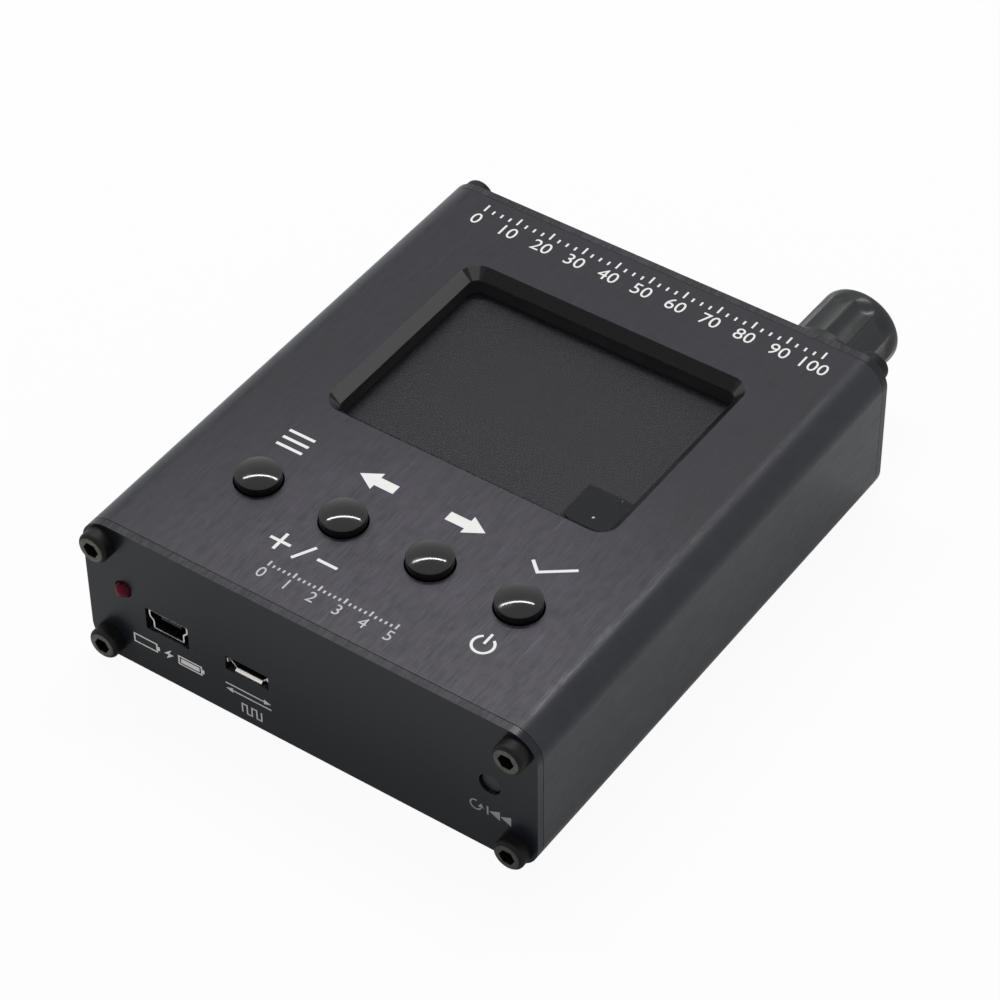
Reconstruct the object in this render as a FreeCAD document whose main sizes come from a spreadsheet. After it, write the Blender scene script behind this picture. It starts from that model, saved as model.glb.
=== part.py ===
"""Handheld antenna analyzer in an extruded aluminium case, as a parametric FreeCAD document.

Frame: millimetres, +Z up, +X to the right and +Y from the front plate to the rear plate.
The origin is the centre of the case's underside.  Every driving dimension is a cell of the
sheet Sizes, and every sub-part is an object bound to those cells.
"""
import FreeCAD, Part
import math
import os
import re

import Sketcher
from FreeCAD import Placement, Rotation, Vector

doc = FreeCAD.newDocument("AntennaAnalyzer")

# --------------------------------------------------------------------------------------
# Driving dimensions: alias, value in mm (or a count), meaning
# --------------------------------------------------------------------------------------
SIZES = [
    ("case_width", 84.0, "outside width of the extruded case"),
    ("case_height", 28.0, "outside height"),
    ("case_length", 95.0, "length of the extrusion between the two end plates"),
    ("case_corner", 5.0, "outside corner radius of the profile"),
    ("case_wall", 2.0, "wall of the extrusion"),
    ("screw_side_inset", 3.8, "end-plate screw axis to the case side"),
    ("screw_top_inset", 3.6, "end-plate screw axis to the top or bottom face"),
    ("boss_wall", 1.4, "wall of a screw channel"),
    ("rail_thick", 1.2, "thickness of a board rail"),
    ("rail_reach", 2.0, "how far a rail stands in from the side wall"),
    ("rail_play", 0.2, "height left over a board in its slot"),
    ("plate_thick", 1.5, "end plate thickness"),
    ("plate_edge_break", 0.12, "chamfer round an end plate, on the side of the case"),
    ("window_side_lap", 4.9, "display module beyond the window opening, X, at each end"),
    ("window_end_lap", 2.35, "display module beyond the window opening, Y, at each side"),
    ("window_corner", 1.75, "corner radius of the opening"),
    ("window_bevel", 1.7, "45 degree bevel along each side of the window"),
    ("bevel_stop", 1.2, "corner of the opening to the end of a bevel"),
    ("window_centre_y", 12.2, "window centre behind the case centre"),
    ("glass_depth", 4.5, "display glass below the top face"),
    ("gasket_inset", 0.8, "outside edge of the window gasket inside the display's edge"),
    ("gasket_setback", 0.2, "gasket edge behind the window edge"),
    ("lcd_length", 60.3, "display module, X"),
    ("lcd_width", 42.7, "display module, Y"),
    ("lcd_thick", 2.5, "display module, Z"),
    ("lcd_frame_wall", 1.1, "rim of the display frame"),
    ("lcd_glass_thick", 1.2, "display glass"),
    ("lcd_glass_play", 0.1, "gap between the glass and its frame"),
    ("foam_thick", 0.5, "foam pad under the display"),
    ("foam_margin", 2.0, "foam pad edge inside the display edge"),
    ("film_thick", 0.12, "protective film on the glass"),
    ("film_margin", 0.5, "film edge inside the window opening"),
    ("film_tab", 8.2, "side of the film's square pull tab"),
    ("film_tab_side_gap", 0.8, "pull tab to the film's right edge"),
    ("film_tab_front_gap", 1.7, "pull tab to the film's front edge"),
    ("film_tab_lift", 0.25, "pull tab thickness"),
    ("flex_width", 20.0, "display ribbon width"),
    ("flex_thick", 0.2, "display ribbon thickness"),
    ("flex_reach", 1.9, "how far the ribbon stands out of the display"),
    ("flex_return", 1.0, "ribbon's lower run, in from its outermost point"),
    ("flex_lift", 0.4, "ribbon's lower run above the display board"),
    ("board_thick", 1.6, "circuit board thickness"),
    ("board_play", 0.3, "board edge to the case side wall"),
    ("main_board_top", 10.0, "top face of the main board above the underside"),
    ("main_board_front_gap", 0.5, "main board to the front plate"),
    ("main_board_rear_gap", 5.5, "main board to the rear plate"),
    ("display_board_side_gap", 7.0, "display board to the case's outer side"),
    ("display_board_front_gap", 6.5, "display board to the front plate"),
    ("spacer_side_inset", 2.3, "board spacer axis to the display board's side"),
    ("spacer_front_inset", 5.0, "front spacer axis to the display board's front edge"),
    ("spacer_rear_inset", 3.0, "rear spacer axis to the display board's rear edge"),
    ("spacer_display_gap", 3.5, "rear spacer axis behind the display module"),
    ("spacer_flats", 4.5, "board spacer across flats"),
    ("spacer_thread", 2.5, "board spacer screw diameter"),
    ("spacer_thread_depth", 3.0, "screw length inside a spacer"),
    ("spacer_head", 3.8, "board screw head diameter"),
    ("spacer_head_height", 1.2, "board screw head height"),
    ("button_count", 4, "number of keys"),
    ("button_pitch", 16.1, "key to key"),
    ("button_row_y", -27.8, "row of keys from the case centre"),
    ("button_diameter", 7.5, "key cap diameter"),
    ("button_play", 0.25, "key cap to its hole, radial"),
    ("button_rim", 1.5, "straight rim of a cap above the top face"),
    ("button_dome", 0.8, "rise of the cap's dome"),
    ("button_round", 0.4, "rounding between a cap's rim and its dome"),
    ("button_clear", 0.7, "cap above its switch"),
    ("switch_side", 6.0, "switch body side"),
    ("switch_height", 3.2, "switch body height"),
    ("switch_cover", 0.3, "switch cover plate"),
    ("stem_diameter", 3.5, "switch stem diameter"),
    ("stem_height", 3.5, "switch stem above its cover"),
    ("stem_play", 0.05, "stem to cover, radial"),
    ("stem_flange", 4.4, "diameter of the stem's foot"),
    ("stem_flange_thick", 0.5, "thickness of the stem's foot"),
    ("stem_well_play", 0.2, "foot to its well, radial"),
    ("stem_well_depth", 1.5, "depth of the well in the switch body"),
    ("reset_side_inset", 8.5, "reset key to the case's right side"),
    ("reset_rise", 4.3, "reset key above the main board"),
    ("reset_hole", 3.9, "reset hole diameter"),
    ("reset_recess", 0.6, "reset key face behind the front face"),
    ("led_side_inset", 7.2, "charge lamp to the case's left side"),
    ("led_rise", 5.9, "charge lamp above the main board"),
    ("led_diameter", 3.0, "charge lamp diameter"),
    ("led_play", 0.1, "charge lamp to its hole, radial"),
    ("led_collar", 3.8, "diameter of the lamp's collar"),
    ("led_collar_thick", 1.0, "thickness of the lamp's collar"),
    ("led_length", 4.8, "lamp from its back to its tip"),
    ("led_proud", 1.2, "lamp tip in front of the front face"),
    ("led_lead_pitch", 2.54, "lamp lead spacing"),
    ("led_lead", 0.5, "lamp lead diameter"),
    ("led_lead_run", 1.6, "straight lead behind the lamp"),
    ("led_lead_bend", 0.7, "bend radius of a lamp lead"),
    ("mini_side_inset", 15.35, "charging socket to the case's left side"),
    ("mini_width", 7.5, "charging socket shell width"),
    ("mini_neck", 6.0, "charging socket shell width below its step"),
    ("mini_height", 3.9, "charging socket shell height"),
    ("mini_corner", 0.45, "outside corner radius of the charging socket's shell"),
    ("mini_shoulder", 1.5, "height of the charging socket's wide part"),
    ("mini_length", 9.2, "charging socket shell length"),
    ("mini_recess", 0.4, "charging socket's mouth behind the front face"),
    ("mini_tongue_width", 3.9, "charging socket's tongue, X"),
    ("mini_tongue_thick", 0.9, "charging socket's tongue, Z"),
    ("mini_tongue_drop", 1.65, "tongue's underside below the charging shell's inner top"),
    ("mini_contact_spacing", 0.8, "contact to contact in the charging socket"),
    ("mini_contact_width", 0.4, "contact in the charging socket"),
    ("micro_side_inset", 30.65, "data socket to the case's left side"),
    ("micro_width", 7.4, "data socket shell width"),
    ("micro_neck", 5.6, "data socket shell width at its floor"),
    ("micro_height", 2.35, "data socket shell height"),
    ("micro_corner", 0.3, "outside corner radius of the data socket's shell"),
    ("micro_shoulder", 1.1, "height of the data socket's wide part"),
    ("micro_length", 5.6, "data socket shell length"),
    ("micro_recess", 0.75, "data socket's mouth behind the front face"),
    ("micro_lip", 0.5, "flared lips in front of the data socket's mouth"),
    ("micro_lip_flare", 0.25, "how far the lips spread"),
    ("micro_tongue_width", 3.6, "data socket's tongue, X"),
    ("micro_tongue_thick", 0.6, "data socket's tongue, Z"),
    ("micro_tongue_drop", 1.15, "tongue's underside below the data shell's inner top"),
    ("micro_contact_spacing", 0.65, "contact to contact in the data socket"),
    ("micro_contact_width", 0.35, "contact in the data socket"),
    ("port_sheet", 0.28, "sheet of a socket shell"),
    ("port_play_x", 0.4, "socket shell to its cut-out, sideways"),
    ("port_play_z", 0.3, "socket shell to its cut-out, up and down"),
    ("port_cut_corner", 0.3, "corner radius of a socket's cut-out"),
    ("port_block", 3.0, "length of the moulding at the back of a socket"),
    ("port_contacts", 5, "contacts of a socket"),
    ("tongue_setback", 0.7, "tongue's tip behind the socket's mouth"),
    ("contact_setback", 0.3, "contact's tip behind the tongue's tip"),
    ("contact_thick", 0.12, "contact thickness"),
    ("screw_thread", 3.0, "end-plate screw diameter"),
    ("screw_length", 10.0, "end-plate screw under its head"),
    ("screw_head", 5.4, "end-plate screw head diameter"),
    ("screw_head_height", 2.6, "end-plate screw head height"),
    ("screw_head_round", 0.8, "rounding of the head's outer edge"),
    ("screw_key", 2.5, "hexagon socket across flats"),
    ("screw_key_depth", 1.5, "hexagon socket depth"),
    ("screw_hole_play", 0.1, "screw to its plate hole, radial"),
    ("rf_side_inset", 16.1, "connector axis to the case's right side"),
    ("rf_thread", 11.1, "mating thread diameter of the connector"),
    ("rf_barrel_length", 13.5, "connector barrel behind its flange"),
    ("rf_neck_length", 6.0, "plain neck between flange and thread"),
    ("rf_neck", 10.4, "neck diameter"),
    ("rf_flange_flats", 14.5, "connector flange across flats"),
    ("rf_flange_thick", 2.0, "connector flange thickness"),
    ("rf_panel_thread", 12.7, "panel thread diameter"),
    ("rf_panel_length", 6.5, "panel thread in front of the flange"),
    ("rf_panel_play", 0.1, "panel thread to its hole, radial"),
    ("rf_bore", 8.2, "mating bore diameter"),
    ("rf_bore_depth", 8.5, "mating bore depth"),
    ("rf_tail", 5.0, "diameter of the rear insulator"),
    ("rf_tail_length", 3.0, "rear insulator in front of the panel thread"),
    ("rf_contact", 2.2, "centre contact diameter"),
    ("rf_contact_bore", 1.3, "hole in the centre contact"),
    ("rf_contact_setback", 2.0, "centre contact behind the barrel's mouth"),
    ("rf_pin", 1.2, "solder pin diameter"),
    ("rf_pin_run", 2.6, "solder pin to the middle of its bend"),
    ("rf_pin_bend", 1.15, "bend radius of the solder pin"),
    ("rf_nut_flats", 15.5, "panel nut across flats"),
    ("rf_nut_thick", 2.5, "panel nut thickness"),
    ("rf_washer", 16.0, "lock washer outside diameter"),
    ("rf_washer_thick", 0.8, "lock washer thickness"),
    ("cap_diameter", 15.1, "dust cap diameter at its mouth"),
    ("cap_end_diameter", 14.7, "dust cap diameter at its closed end"),
    ("cap_length", 17.6, "dust cap length"),
    ("cap_gap", 0.3, "dust cap to the connector flange"),
    ("cap_end_wall", 2.6, "closed end of the dust cap"),
    ("cap_end_round", 0.7, "rounding of the closed end"),
    ("cap_thread_play", 0.05, "dust cap to the connector thread, radial"),
    ("flute_count", 11, "grip flutes round the dust cap"),
    ("flute_radius", 5.5, "radius of a flute's hollow"),
    ("flute_depth", 0.6, "depth of a flute"),
    ("flute_start", 5.6, "plain skirt before the flutes"),
    ("flute_end", 1.0, "plain band after the flutes"),
    ("cap_gasket_thick", 1.0, "gasket in the dust cap"),
    ("cap_gasket_play", 0.3, "gasket edge to the cap's bore"),
    ("battery_length", 50.0, "battery cell, X"),
    ("battery_width", 34.0, "battery cell, Y"),
    ("battery_thick", 5.0, "battery cell, Z"),
    ("battery_centre_y", 14.0, "battery centre behind the case centre"),
    ("battery_corner", 2.0, "rounding along the cell's long edges"),
    ("tape_thick", 0.5, "mounting tape under the battery"),
    ("tape_margin", 4.0, "tape edge inside the battery edge"),
    ("plug_offset", 10.0, "battery plug left of the centre plane"),
    ("plug_width", 4.8, "battery plug, X"),
    ("plug_height", 3.6, "battery plug, Z"),
    ("plug_length", 5.5, "battery plug, Y"),
    ("plug_proud", 1.9, "plug behind its socket's mouth"),
    ("plug_play", 0.1, "plug to its socket"),
    ("plug_socket_wall", 0.6, "wall of the battery socket"),
    ("plug_socket_length", 7.6, "battery socket, Y"),
    ("plug_socket_rear_gap", 5.4, "battery socket's mouth in front of the board's rear edge"),
    ("wire_diameter", 1.0, "battery wire"),
    ("wire_spacing", 2.0, "wire to wire"),
    ("wire_rear_gap", 2.1, "wire axis to the rear plate"),
    ("wire_bend", 3.0, "bend radius of a battery wire"),
    ("header_pins", 8, "pins of the board header"),
    ("header_pin_spacing", 2.54, "pin to pin"),
    ("header_pin", 0.64, "side of a square pin"),
    ("header_width", 2.5, "header body, Y"),
    ("header_y", -15.0, "header from the case centre"),
    ("header_block", 2.5, "height of the header body"),
    ("header_tail", 0.8, "pins above the display board"),
    ("header_insert", 4.5, "pins inside the socket"),
    ("shield_length", 25.0, "shield can, X"),
    ("shield_width", 20.0, "shield can, Y"),
    ("shield_height", 3.2, "shield can, Z"),
    ("shield_sheet", 0.25, "shield can sheet"),
    ("shield_contact_gap", 4.5, "shield can in front of the connector's solder pin"),
    ("shield_offset", 10.25, "shield can centre left of the connector's axis"),
    ("processor_side", 14.0, "processor package side"),
    ("processor_height", 1.5, "processor package height"),
    ("processor_x", -8.0, "processor centre"),
    ("processor_y", 4.0, "processor centre"),
    ("chip_height", 1.0, "height of the chips under the shield can"),
    ("synthesiser_side", 5.0, "synthesiser chip side"),
    ("synthesiser_offset", 6.25, "synthesiser chip left of the can's centre"),
    ("mixer_side", 4.0, "mixer and detector chip side"),
    ("mixer_offset", 5.0, "mixer and detector chips right of the can's centre"),
    ("mixer_spread", 8.0, "mixer chip to detector chip"),
    ("charger_length", 6.0, "charger chip, X"),
    ("charger_width", 5.0, "charger chip, Y"),
    ("charger_height", 1.5, "charger chip, Z"),
    ("charger_gap", 12.0, "charger chip's centre behind the charging socket"),
    ("crystal_length", 10.5, "crystal can length"),
    ("crystal_height", 3.5, "crystal can height"),
    ("crystal_gap", 14.0, "crystal can behind the processor's centre"),
    ("choke_diameter", 6.0, "power choke diameter"),
    ("choke_height", 3.0, "power choke height"),
    ("choke_y", 4.0, "power choke from the case centre"),
]
sheet = doc.addObject("Spreadsheet::Sheet", "Sizes")
for row, (alias, number, meaning) in enumerate(SIZES, start=1):
    sheet.set("A%d" % row, meaning)
    sheet.set("B%d" % row, str(number))
    sheet.setAlias("B%d" % row, alias)
doc.recompute()
ALIASES = {alias for alias, number, meaning in SIZES}
SUB_PARTS = []
gauge = doc.addObject("Part::Vertex", "Gauge")


def size(alias):
    """The sheet's value of one driving dimension."""
    return float(sheet.get(alias))


# Levels and places that several sub-parts share, written once as expressions
RESET_X = "(case_width / 2 - reset_side_inset)"
RESET_Z = "(main_board_top + reset_rise)"
LED_X = "(led_side_inset - case_width / 2)"
LED_Z = "(main_board_top + led_rise)"
PORT_X = {"mini": "(mini_side_inset - case_width / 2)", "micro": "(micro_side_inset - case_width / 2)"}
RF_X = "(case_width / 2 - rf_side_inset)"
RF_Z = "(case_height / 2)"
PLUG_X = "(-plug_offset)"
SCREW_X = "(case_width / 2 - screw_side_inset)"
SCREW_Z = "(case_height - screw_top_inset)"
PLATE_INSIDE = "(case_length / 2)"
PLATE_OUTSIDE = "(case_length / 2 + plate_thick)"
WINDOW_LENGTH = "(lcd_length - 2 * window_side_lap)"
WINDOW_DEPTH = "(lcd_width - 2 * window_end_lap)"
GLASS_TOP = "(case_height - glass_depth)"
DISPLAY_BOARD_TOP = "(case_height - glass_depth - lcd_thick - foam_thick)"
SPACER_HEIGHT = "(case_height - glass_depth - lcd_thick - foam_thick - board_thick - main_board_top)"
BOARD_FRONT = "(main_board_front_gap - case_length / 2)"
BOARD_REAR = "(case_length / 2 - main_board_rear_gap)"
DISPLAY_FRONT = "(display_board_front_gap - case_length / 2)"
SPACER_X = "(case_width / 2 - display_board_side_gap - spacer_side_inset)"
SPACER_FRONT = "(display_board_front_gap - case_length / 2 + spacer_front_inset)"
SPACER_REAR = "(window_centre_y + lcd_width / 2 + spacer_display_gap)"
DISPLAY_REAR = "(window_centre_y + lcd_width / 2 + spacer_display_gap + spacer_rear_inset)"
PORT_MOUTH = {"mini": "(mini_recess - case_length / 2 - plate_thick)",
              "micro": "(micro_recess - case_length / 2 - plate_thick)"}
SWITCH_TOP = "(case_height - glass_depth - lcd_thick - foam_thick + switch_height + switch_cover)"
RESET_FACE = "(reset_recess - case_length / 2 - plate_thick)"
FLANGE_REAR = "(case_length / 2 + plate_thick + rf_flange_thick)"
CAP_MOUTH = "(case_length / 2 + plate_thick + rf_flange_thick + cap_gap)"
FLAT_TO_CORNER = "cos(30)"

# How near an edge has to lie to the place by which it is picked
NEAR = 1e-4

UP = Rotation()
REARWARD = Rotation(Vector(1, 0, 0), -90)
FORWARD = Rotation(Vector(1, 0, 0), 90)


# --------------------------------------------------------------------------------------
# Helpers
# --------------------------------------------------------------------------------------
def formula(text):
    """Write a formula in aliases as an expression on the sheet."""
    def cell(word):
        return "Sizes." + word.group(0) if word.group(0) in ALIASES else word.group(0)
    return re.sub(r"[a-z][a-z_0-9]*", cell, str(text))


def value(text):
    """What a formula comes to with the sheet as it is."""
    gauge.setExpression("X", formula(text))
    gauge.recompute()
    return float(gauge.X)


def bind(target, **formulas):
    """Bind properties of an object to formulas in the sheet's aliases."""
    for name, text in formulas.items():
        target.setExpression(name, formula(text))
    return target


def place(target, at, turn=UP):
    """Bind an object's place to three formulas and give it a fixed turn."""
    target.Placement = Placement(Vector(), turn)
    for axis, text in zip("xyz", at):
        target.setExpression("Placement.Base." + axis, formula(text))
    return target


def box(name, length, width, height, at):
    """A block with its lowest corner at at."""
    solid = doc.addObject("Part::Box", name)
    return place(bind(solid, Length=length, Width=width, Height=height), at)


def centred_box(name, length, width, height, centre):
    """A block centred on centre's x and y, standing on its z."""
    corner = ("%s - (%s) / 2" % (centre[0], length), "%s - (%s) / 2" % (centre[1], width), centre[2])
    return box(name, length, width, height, corner)


def cylinder(name, diameter, height, at, turn=UP):
    """A cylinder from at along the turned Z axis."""
    solid = doc.addObject("Part::Cylinder", name)
    return place(bind(solid, Radius="(%s) / 2" % diameter, Height=height), at, turn)


def hexagon(name, flats, height, at, turn=UP):
    """A hexagonal prism given by its width across flats."""
    solid = doc.addObject("Part::Prism", name)
    solid.Polygon = 6
    bind(solid, Circumradius="(%s) / 2 / %s" % (flats, FLAT_TO_CORNER), Height=height)
    return place(solid, at, turn)


def fuse(name, parts):
    """One solid from several that meet."""
    joined = doc.addObject("Part::MultiFuse", name)
    joined.Shapes = parts
    joined.Refine = True
    return joined


def cut(name, base, tools):
    """A solid with other solids taken away."""
    result = doc.addObject("Part::Cut", name)
    result.Base = base
    result.Tool = tools[0] if len(tools) == 1 else group(name + "_tools", tools)
    result.Refine = True
    return result


def common(name, first, second):
    """What two solids share."""
    result = doc.addObject("Part::Common", name)
    result.Base = first
    result.Tool = second
    result.Refine = True
    return result


def group(name, parts):
    """Separate solids in one object."""
    together = doc.addObject("Part::Compound", name)
    together.Links = parts
    return together


def mirrored(name, source, normal, height=None):
    """A source and its mirror image across a plane through the origin, or at a height."""
    image = doc.addObject("Part::Mirroring", name + "_image")
    image.Source = source
    image.Normal = Vector(*normal)
    if height is not None:
        image.setExpression("Base.z", formula(height))
    return group(name, [source, image])


def from_code(name, shape):
    """A document object whose shape is worked out here from the sheet's values."""
    feature = doc.addObject("Part::Feature", name)
    feature.Shape = shape
    return feature


def sub_part(label, result):
    """Register a finished sub-part under the name of its file."""
    result.Label = label
    SUB_PARTS.append(result)
    return result


def new_body(name, at=("0", "0", "0"), turn=UP):
    """An empty PartDesign body at a place."""
    return place(doc.addObject("PartDesign::Body", name), at, turn)


def origin_plane(body, role):
    """One of a body's own origin planes or axes."""
    return next(item for item in body.Origin.OriginFeatures if item.Role == role)


def new_sketch(body, name, role, offset=None):
    """A sketch on an origin plane of its body, or parallel to it."""
    sketch = body.newObject("Sketcher::SketchObject", name)
    sketch.AttachmentSupport = (origin_plane(body, role), [""])
    sketch.MapMode = "FlatFace"
    if offset is not None:
        sketch.setExpression("AttachmentOffset.Base.z", formula(offset))
    return sketch


def constrain(sketch, label, text, *reference):
    """Add a dimension to a sketch and bind it to a formula."""
    index = sketch.addConstraint(Sketcher.Constraint(*reference, value(text)))
    sketch.renameConstraint(index, label)
    sketch.setExpression("Constraints." + label, formula(text))


def add_circle(sketch, label, centre, diameter):
    """A circle given by its centre's two formulas and its diameter."""
    middle = Vector(value(centre[0]), value(centre[1]), 0)
    index = sketch.addGeometry(Part.Circle(middle, Vector(0, 0, 1), value(diameter) / 2), False)
    constrain(sketch, label + "_radius", "(%s) / 2" % diameter, "Radius", index)
    constrain(sketch, label + "_across", centre[0], "DistanceX", -1, 1, index, 3)
    constrain(sketch, label + "_up", centre[1], "DistanceY", -1, 1, index, 3)


def add_rounded_rectangle(sketch, label, width, height, corner, centre):
    """A rectangle with round corners, given by formulas."""
    half_w, half_h, radius = value(width) / 2, value(height) / 2, value(corner)
    mid_x, mid_y = value(centre[0]), value(centre[1])
    first = sketch.GeometryCount
    sides = [((radius - half_w, -half_h), (half_w - radius, -half_h)),
             ((half_w, radius - half_h), (half_w, half_h - radius)),
             ((half_w - radius, half_h), (radius - half_w, half_h)),
             ((-half_w, half_h - radius), (-half_w, radius - half_h))]
    for (start_x, start_y), (end_x, end_y) in sides:
        sketch.addGeometry(Part.LineSegment(Vector(mid_x + start_x, mid_y + start_y, 0),
                                            Vector(mid_x + end_x, mid_y + end_y, 0)), False)
    for turn, (side_x, side_y) in enumerate([(1, -1), (1, 1), (-1, 1), (-1, -1)]):
        middle = Vector(mid_x + side_x * (half_w - radius), mid_y + side_y * (half_h - radius), 0)
        round_off = Part.Circle(middle, Vector(0, 0, 1), radius)
        start = math.radians(90 * turn - 90)
        sketch.addGeometry(Part.ArcOfCircle(round_off, start, start + math.pi / 2), False)
    for turn in range(4):
        arc = first + 4 + turn
        sketch.addConstraint(Sketcher.Constraint("Tangent", first + turn, 2, arc, 1))
        sketch.addConstraint(Sketcher.Constraint("Tangent", arc, 2, first + (turn + 1) % 4, 1))
        sketch.addConstraint(Sketcher.Constraint("Vertical" if turn % 2 else "Horizontal", first + turn))
        if turn:
            sketch.addConstraint(Sketcher.Constraint("Equal", first + 4, arc))
    constrain(sketch, label + "_corner", corner, "Radius", first + 4)
    levels = (("_low", "DistanceY", "%s - (%s) / 2" % (centre[1], height)),
              ("_right", "DistanceX", "%s + (%s) / 2" % (centre[0], width)),
              ("_high", "DistanceY", "%s + (%s) / 2" % (centre[1], height)),
              ("_left", "DistanceX", "%s - (%s) / 2" % (centre[0], width)))
    for side, (ending, direction, level) in enumerate(levels):
        constrain(sketch, label + ending, level, direction, -1, 1, first + side, 1)


def add_outline(sketch, label, points):
    """A closed outline of straight sides through points given as pairs of formulas."""
    first = sketch.GeometryCount
    count = len(points)
    corners = [Vector(value(across), value(up), 0) for across, up in points]
    for index in range(count):
        sketch.addGeometry(Part.LineSegment(corners[index], corners[(index + 1) % count]), False)
    for index in range(count):
        following = first + (index + 1) % count
        sketch.addConstraint(Sketcher.Constraint("Coincident", first + index, 2, following, 1))
    for index, (across, up) in enumerate(points):
        constrain(sketch, "%s_x%d" % (label, index), across, "DistanceX", -1, 1, first + index, 1)
        constrain(sketch, "%s_y%d" % (label, index), up, "DistanceY", -1, 1, first + index, 1)


def pad(body, name, sketch, length, symmetric=False, backwards=False):
    """Grow a sketch into a solid."""
    feature = body.newObject("PartDesign::Pad", name)
    feature.Profile = sketch
    feature.SideType = "Symmetric" if symmetric else "One side"
    feature.Reversed = backwards
    feature.setExpression("Length", formula(length))
    return feature


def pocket(body, name, sketch, length=None, symmetric=False):
    """Cut a sketch into the solid to a depth, or through all of it both ways."""
    feature = body.newObject("PartDesign::Pocket", name)
    feature.Profile = sketch
    if length is None or symmetric:
        feature.SideType = "Symmetric"
    if length is None:
        feature.Type = "ThroughAll"
    else:
        feature.setExpression("Length", formula(length))
    return feature


def revolve(body, name, sketch, axis):
    """Turn a sketch once round an axis of its body."""
    feature = body.newObject("PartDesign::Revolution", name)
    feature.Profile = sketch
    feature.ReferenceAxis = (origin_plane(body, axis), [""])
    feature.Angle = 360
    return feature


def edges_where(shape, test):
    """Names of a shape's edges that pass a test on their middle and on the edge itself."""
    found = []
    for index, edge in enumerate(shape.Edges, start=1):
        middle = edge.valueAt((edge.FirstParameter + edge.LastParameter) / 2)
        if test(middle, edge):
            found.append("Edge%d" % index)
    return found


# --------------------------------------------------------------------------------------
# Case: one extrusion with a window and key holes, and two end plates
# --------------------------------------------------------------------------------------
def key_x(index):
    """Formula of a key's place across the case, counted from the left."""
    return "(%d - (button_count - 1) / 2) * button_pitch" % index


def build_case():
    """The extruded tube: its section first, then what is milled into it."""
    section = new_body("case_section")
    outline = new_sketch(section, "case_section_outline", "XZ_Plane")
    middle = ("0", "case_height / 2")
    add_rounded_rectangle(outline, "outer", "case_width", "case_height", "case_corner", middle)
    add_rounded_rectangle(outline, "inner", "case_width - 2 * case_wall", "case_height - 2 * case_wall",
                          "case_corner - case_wall", middle)
    pad(section, "case_tube", outline, "case_length", symmetric=True)

    channels = new_sketch(section, "case_channels_outline", "XZ_Plane")
    for column, side in enumerate(("-", "")):
        for level, height in enumerate(("screw_top_inset", SCREW_Z)):
            add_circle(channels, "channel_%d%d" % (column, level), (side + SCREW_X, height),
                       "screw_thread + 2 * boss_wall")
    pad(section, "case_channels", channels, "case_length", symmetric=True)

    rails = new_sketch(section, "case_rails_outline", "XZ_Plane")
    slot_low = "main_board_top - board_thick"
    levels = (("%s - rail_thick" % slot_low, slot_low),
              ("main_board_top + rail_play", "main_board_top + rail_play + rail_thick"))
    for column, side in enumerate(("-", "")):
        root = side + "(case_width / 2 - case_wall / 2)"
        tip = side + "(case_width / 2 - case_wall - rail_reach)"
        for level, (low, high) in enumerate(levels):
            add_outline(rails, "rail_%d%d" % (column, level),
                        [(root, low), (tip, low), (tip, high), (root, high)])
    pad(section, "case_rails", rails, "case_length", symmetric=True)

    bores = new_sketch(section, "case_bores_outline", "XZ_Plane")
    for column, side in enumerate(("-", "")):
        for level, height in enumerate(("screw_top_inset", SCREW_Z)):
            add_circle(bores, "bore_%d%d" % (column, level), (side + SCREW_X, height), "screw_thread")
    pocket(section, "case_bores", bores)

    envelope = new_body("case_envelope")
    bar = new_sketch(envelope, "case_bar_outline", "XZ_Plane")
    add_rounded_rectangle(bar, "bar", "case_width", "case_height", "case_corner", middle)
    pad(envelope, "case_bar", bar, "case_length", symmetric=True)
    holes = new_sketch(envelope, "case_key_holes_outline", "XY_Plane", offset="case_height")
    for index in range(int(size("button_count"))):
        add_circle(holes, "key_%d" % index, (key_x(index), "button_row_y"),
                   "button_diameter + 2 * button_play")
    pocket(envelope, "case_key_holes", holes, "2 * case_wall")
    opening = new_sketch(envelope, "case_window_outline", "XY_Plane", offset="case_height")
    add_rounded_rectangle(opening, "window", WINDOW_LENGTH, WINDOW_DEPTH, "window_corner",
                          ("0", "window_centre_y"))
    pocket(envelope, "case_window", opening, "2 * case_wall")

    # Each bevel is a straight cut that stops short of the opening's corners
    for way, role, offset, middle, side, run in (
            ("side", "XZ_Plane", "-window_centre_y", "0", WINDOW_LENGTH, WINDOW_DEPTH),
            ("end", "YZ_Plane", "0", "window_centre_y", WINDOW_DEPTH, WINDOW_LENGTH)):
        bevel = new_sketch(envelope, "case_%s_bevel_outline" % way, role, offset=offset)
        for index, sign in enumerate(("-", "+")):
            edge = "%s %s %s / 2" % (middle, sign, side)
            inward = "-" if sign == "+" else "+"
            add_outline(bevel, "bevel_%d" % index,
                        [("%s %s window_bevel" % (edge, inward), "case_height"),
                         ("%s %s window_bevel" % (edge, sign), "case_height"),
                         (edge, "case_height - window_bevel"),
                         ("%s %s window_bevel" % (edge, inward), "case_height - window_bevel")])
        pocket(envelope, "case_%s_bevels" % way, bevel, "%s - 2 * bevel_stop" % run, symmetric=True)
    doc.recompute()
    sub_part("extruded_case", common("extruded_case", section, envelope))


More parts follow.
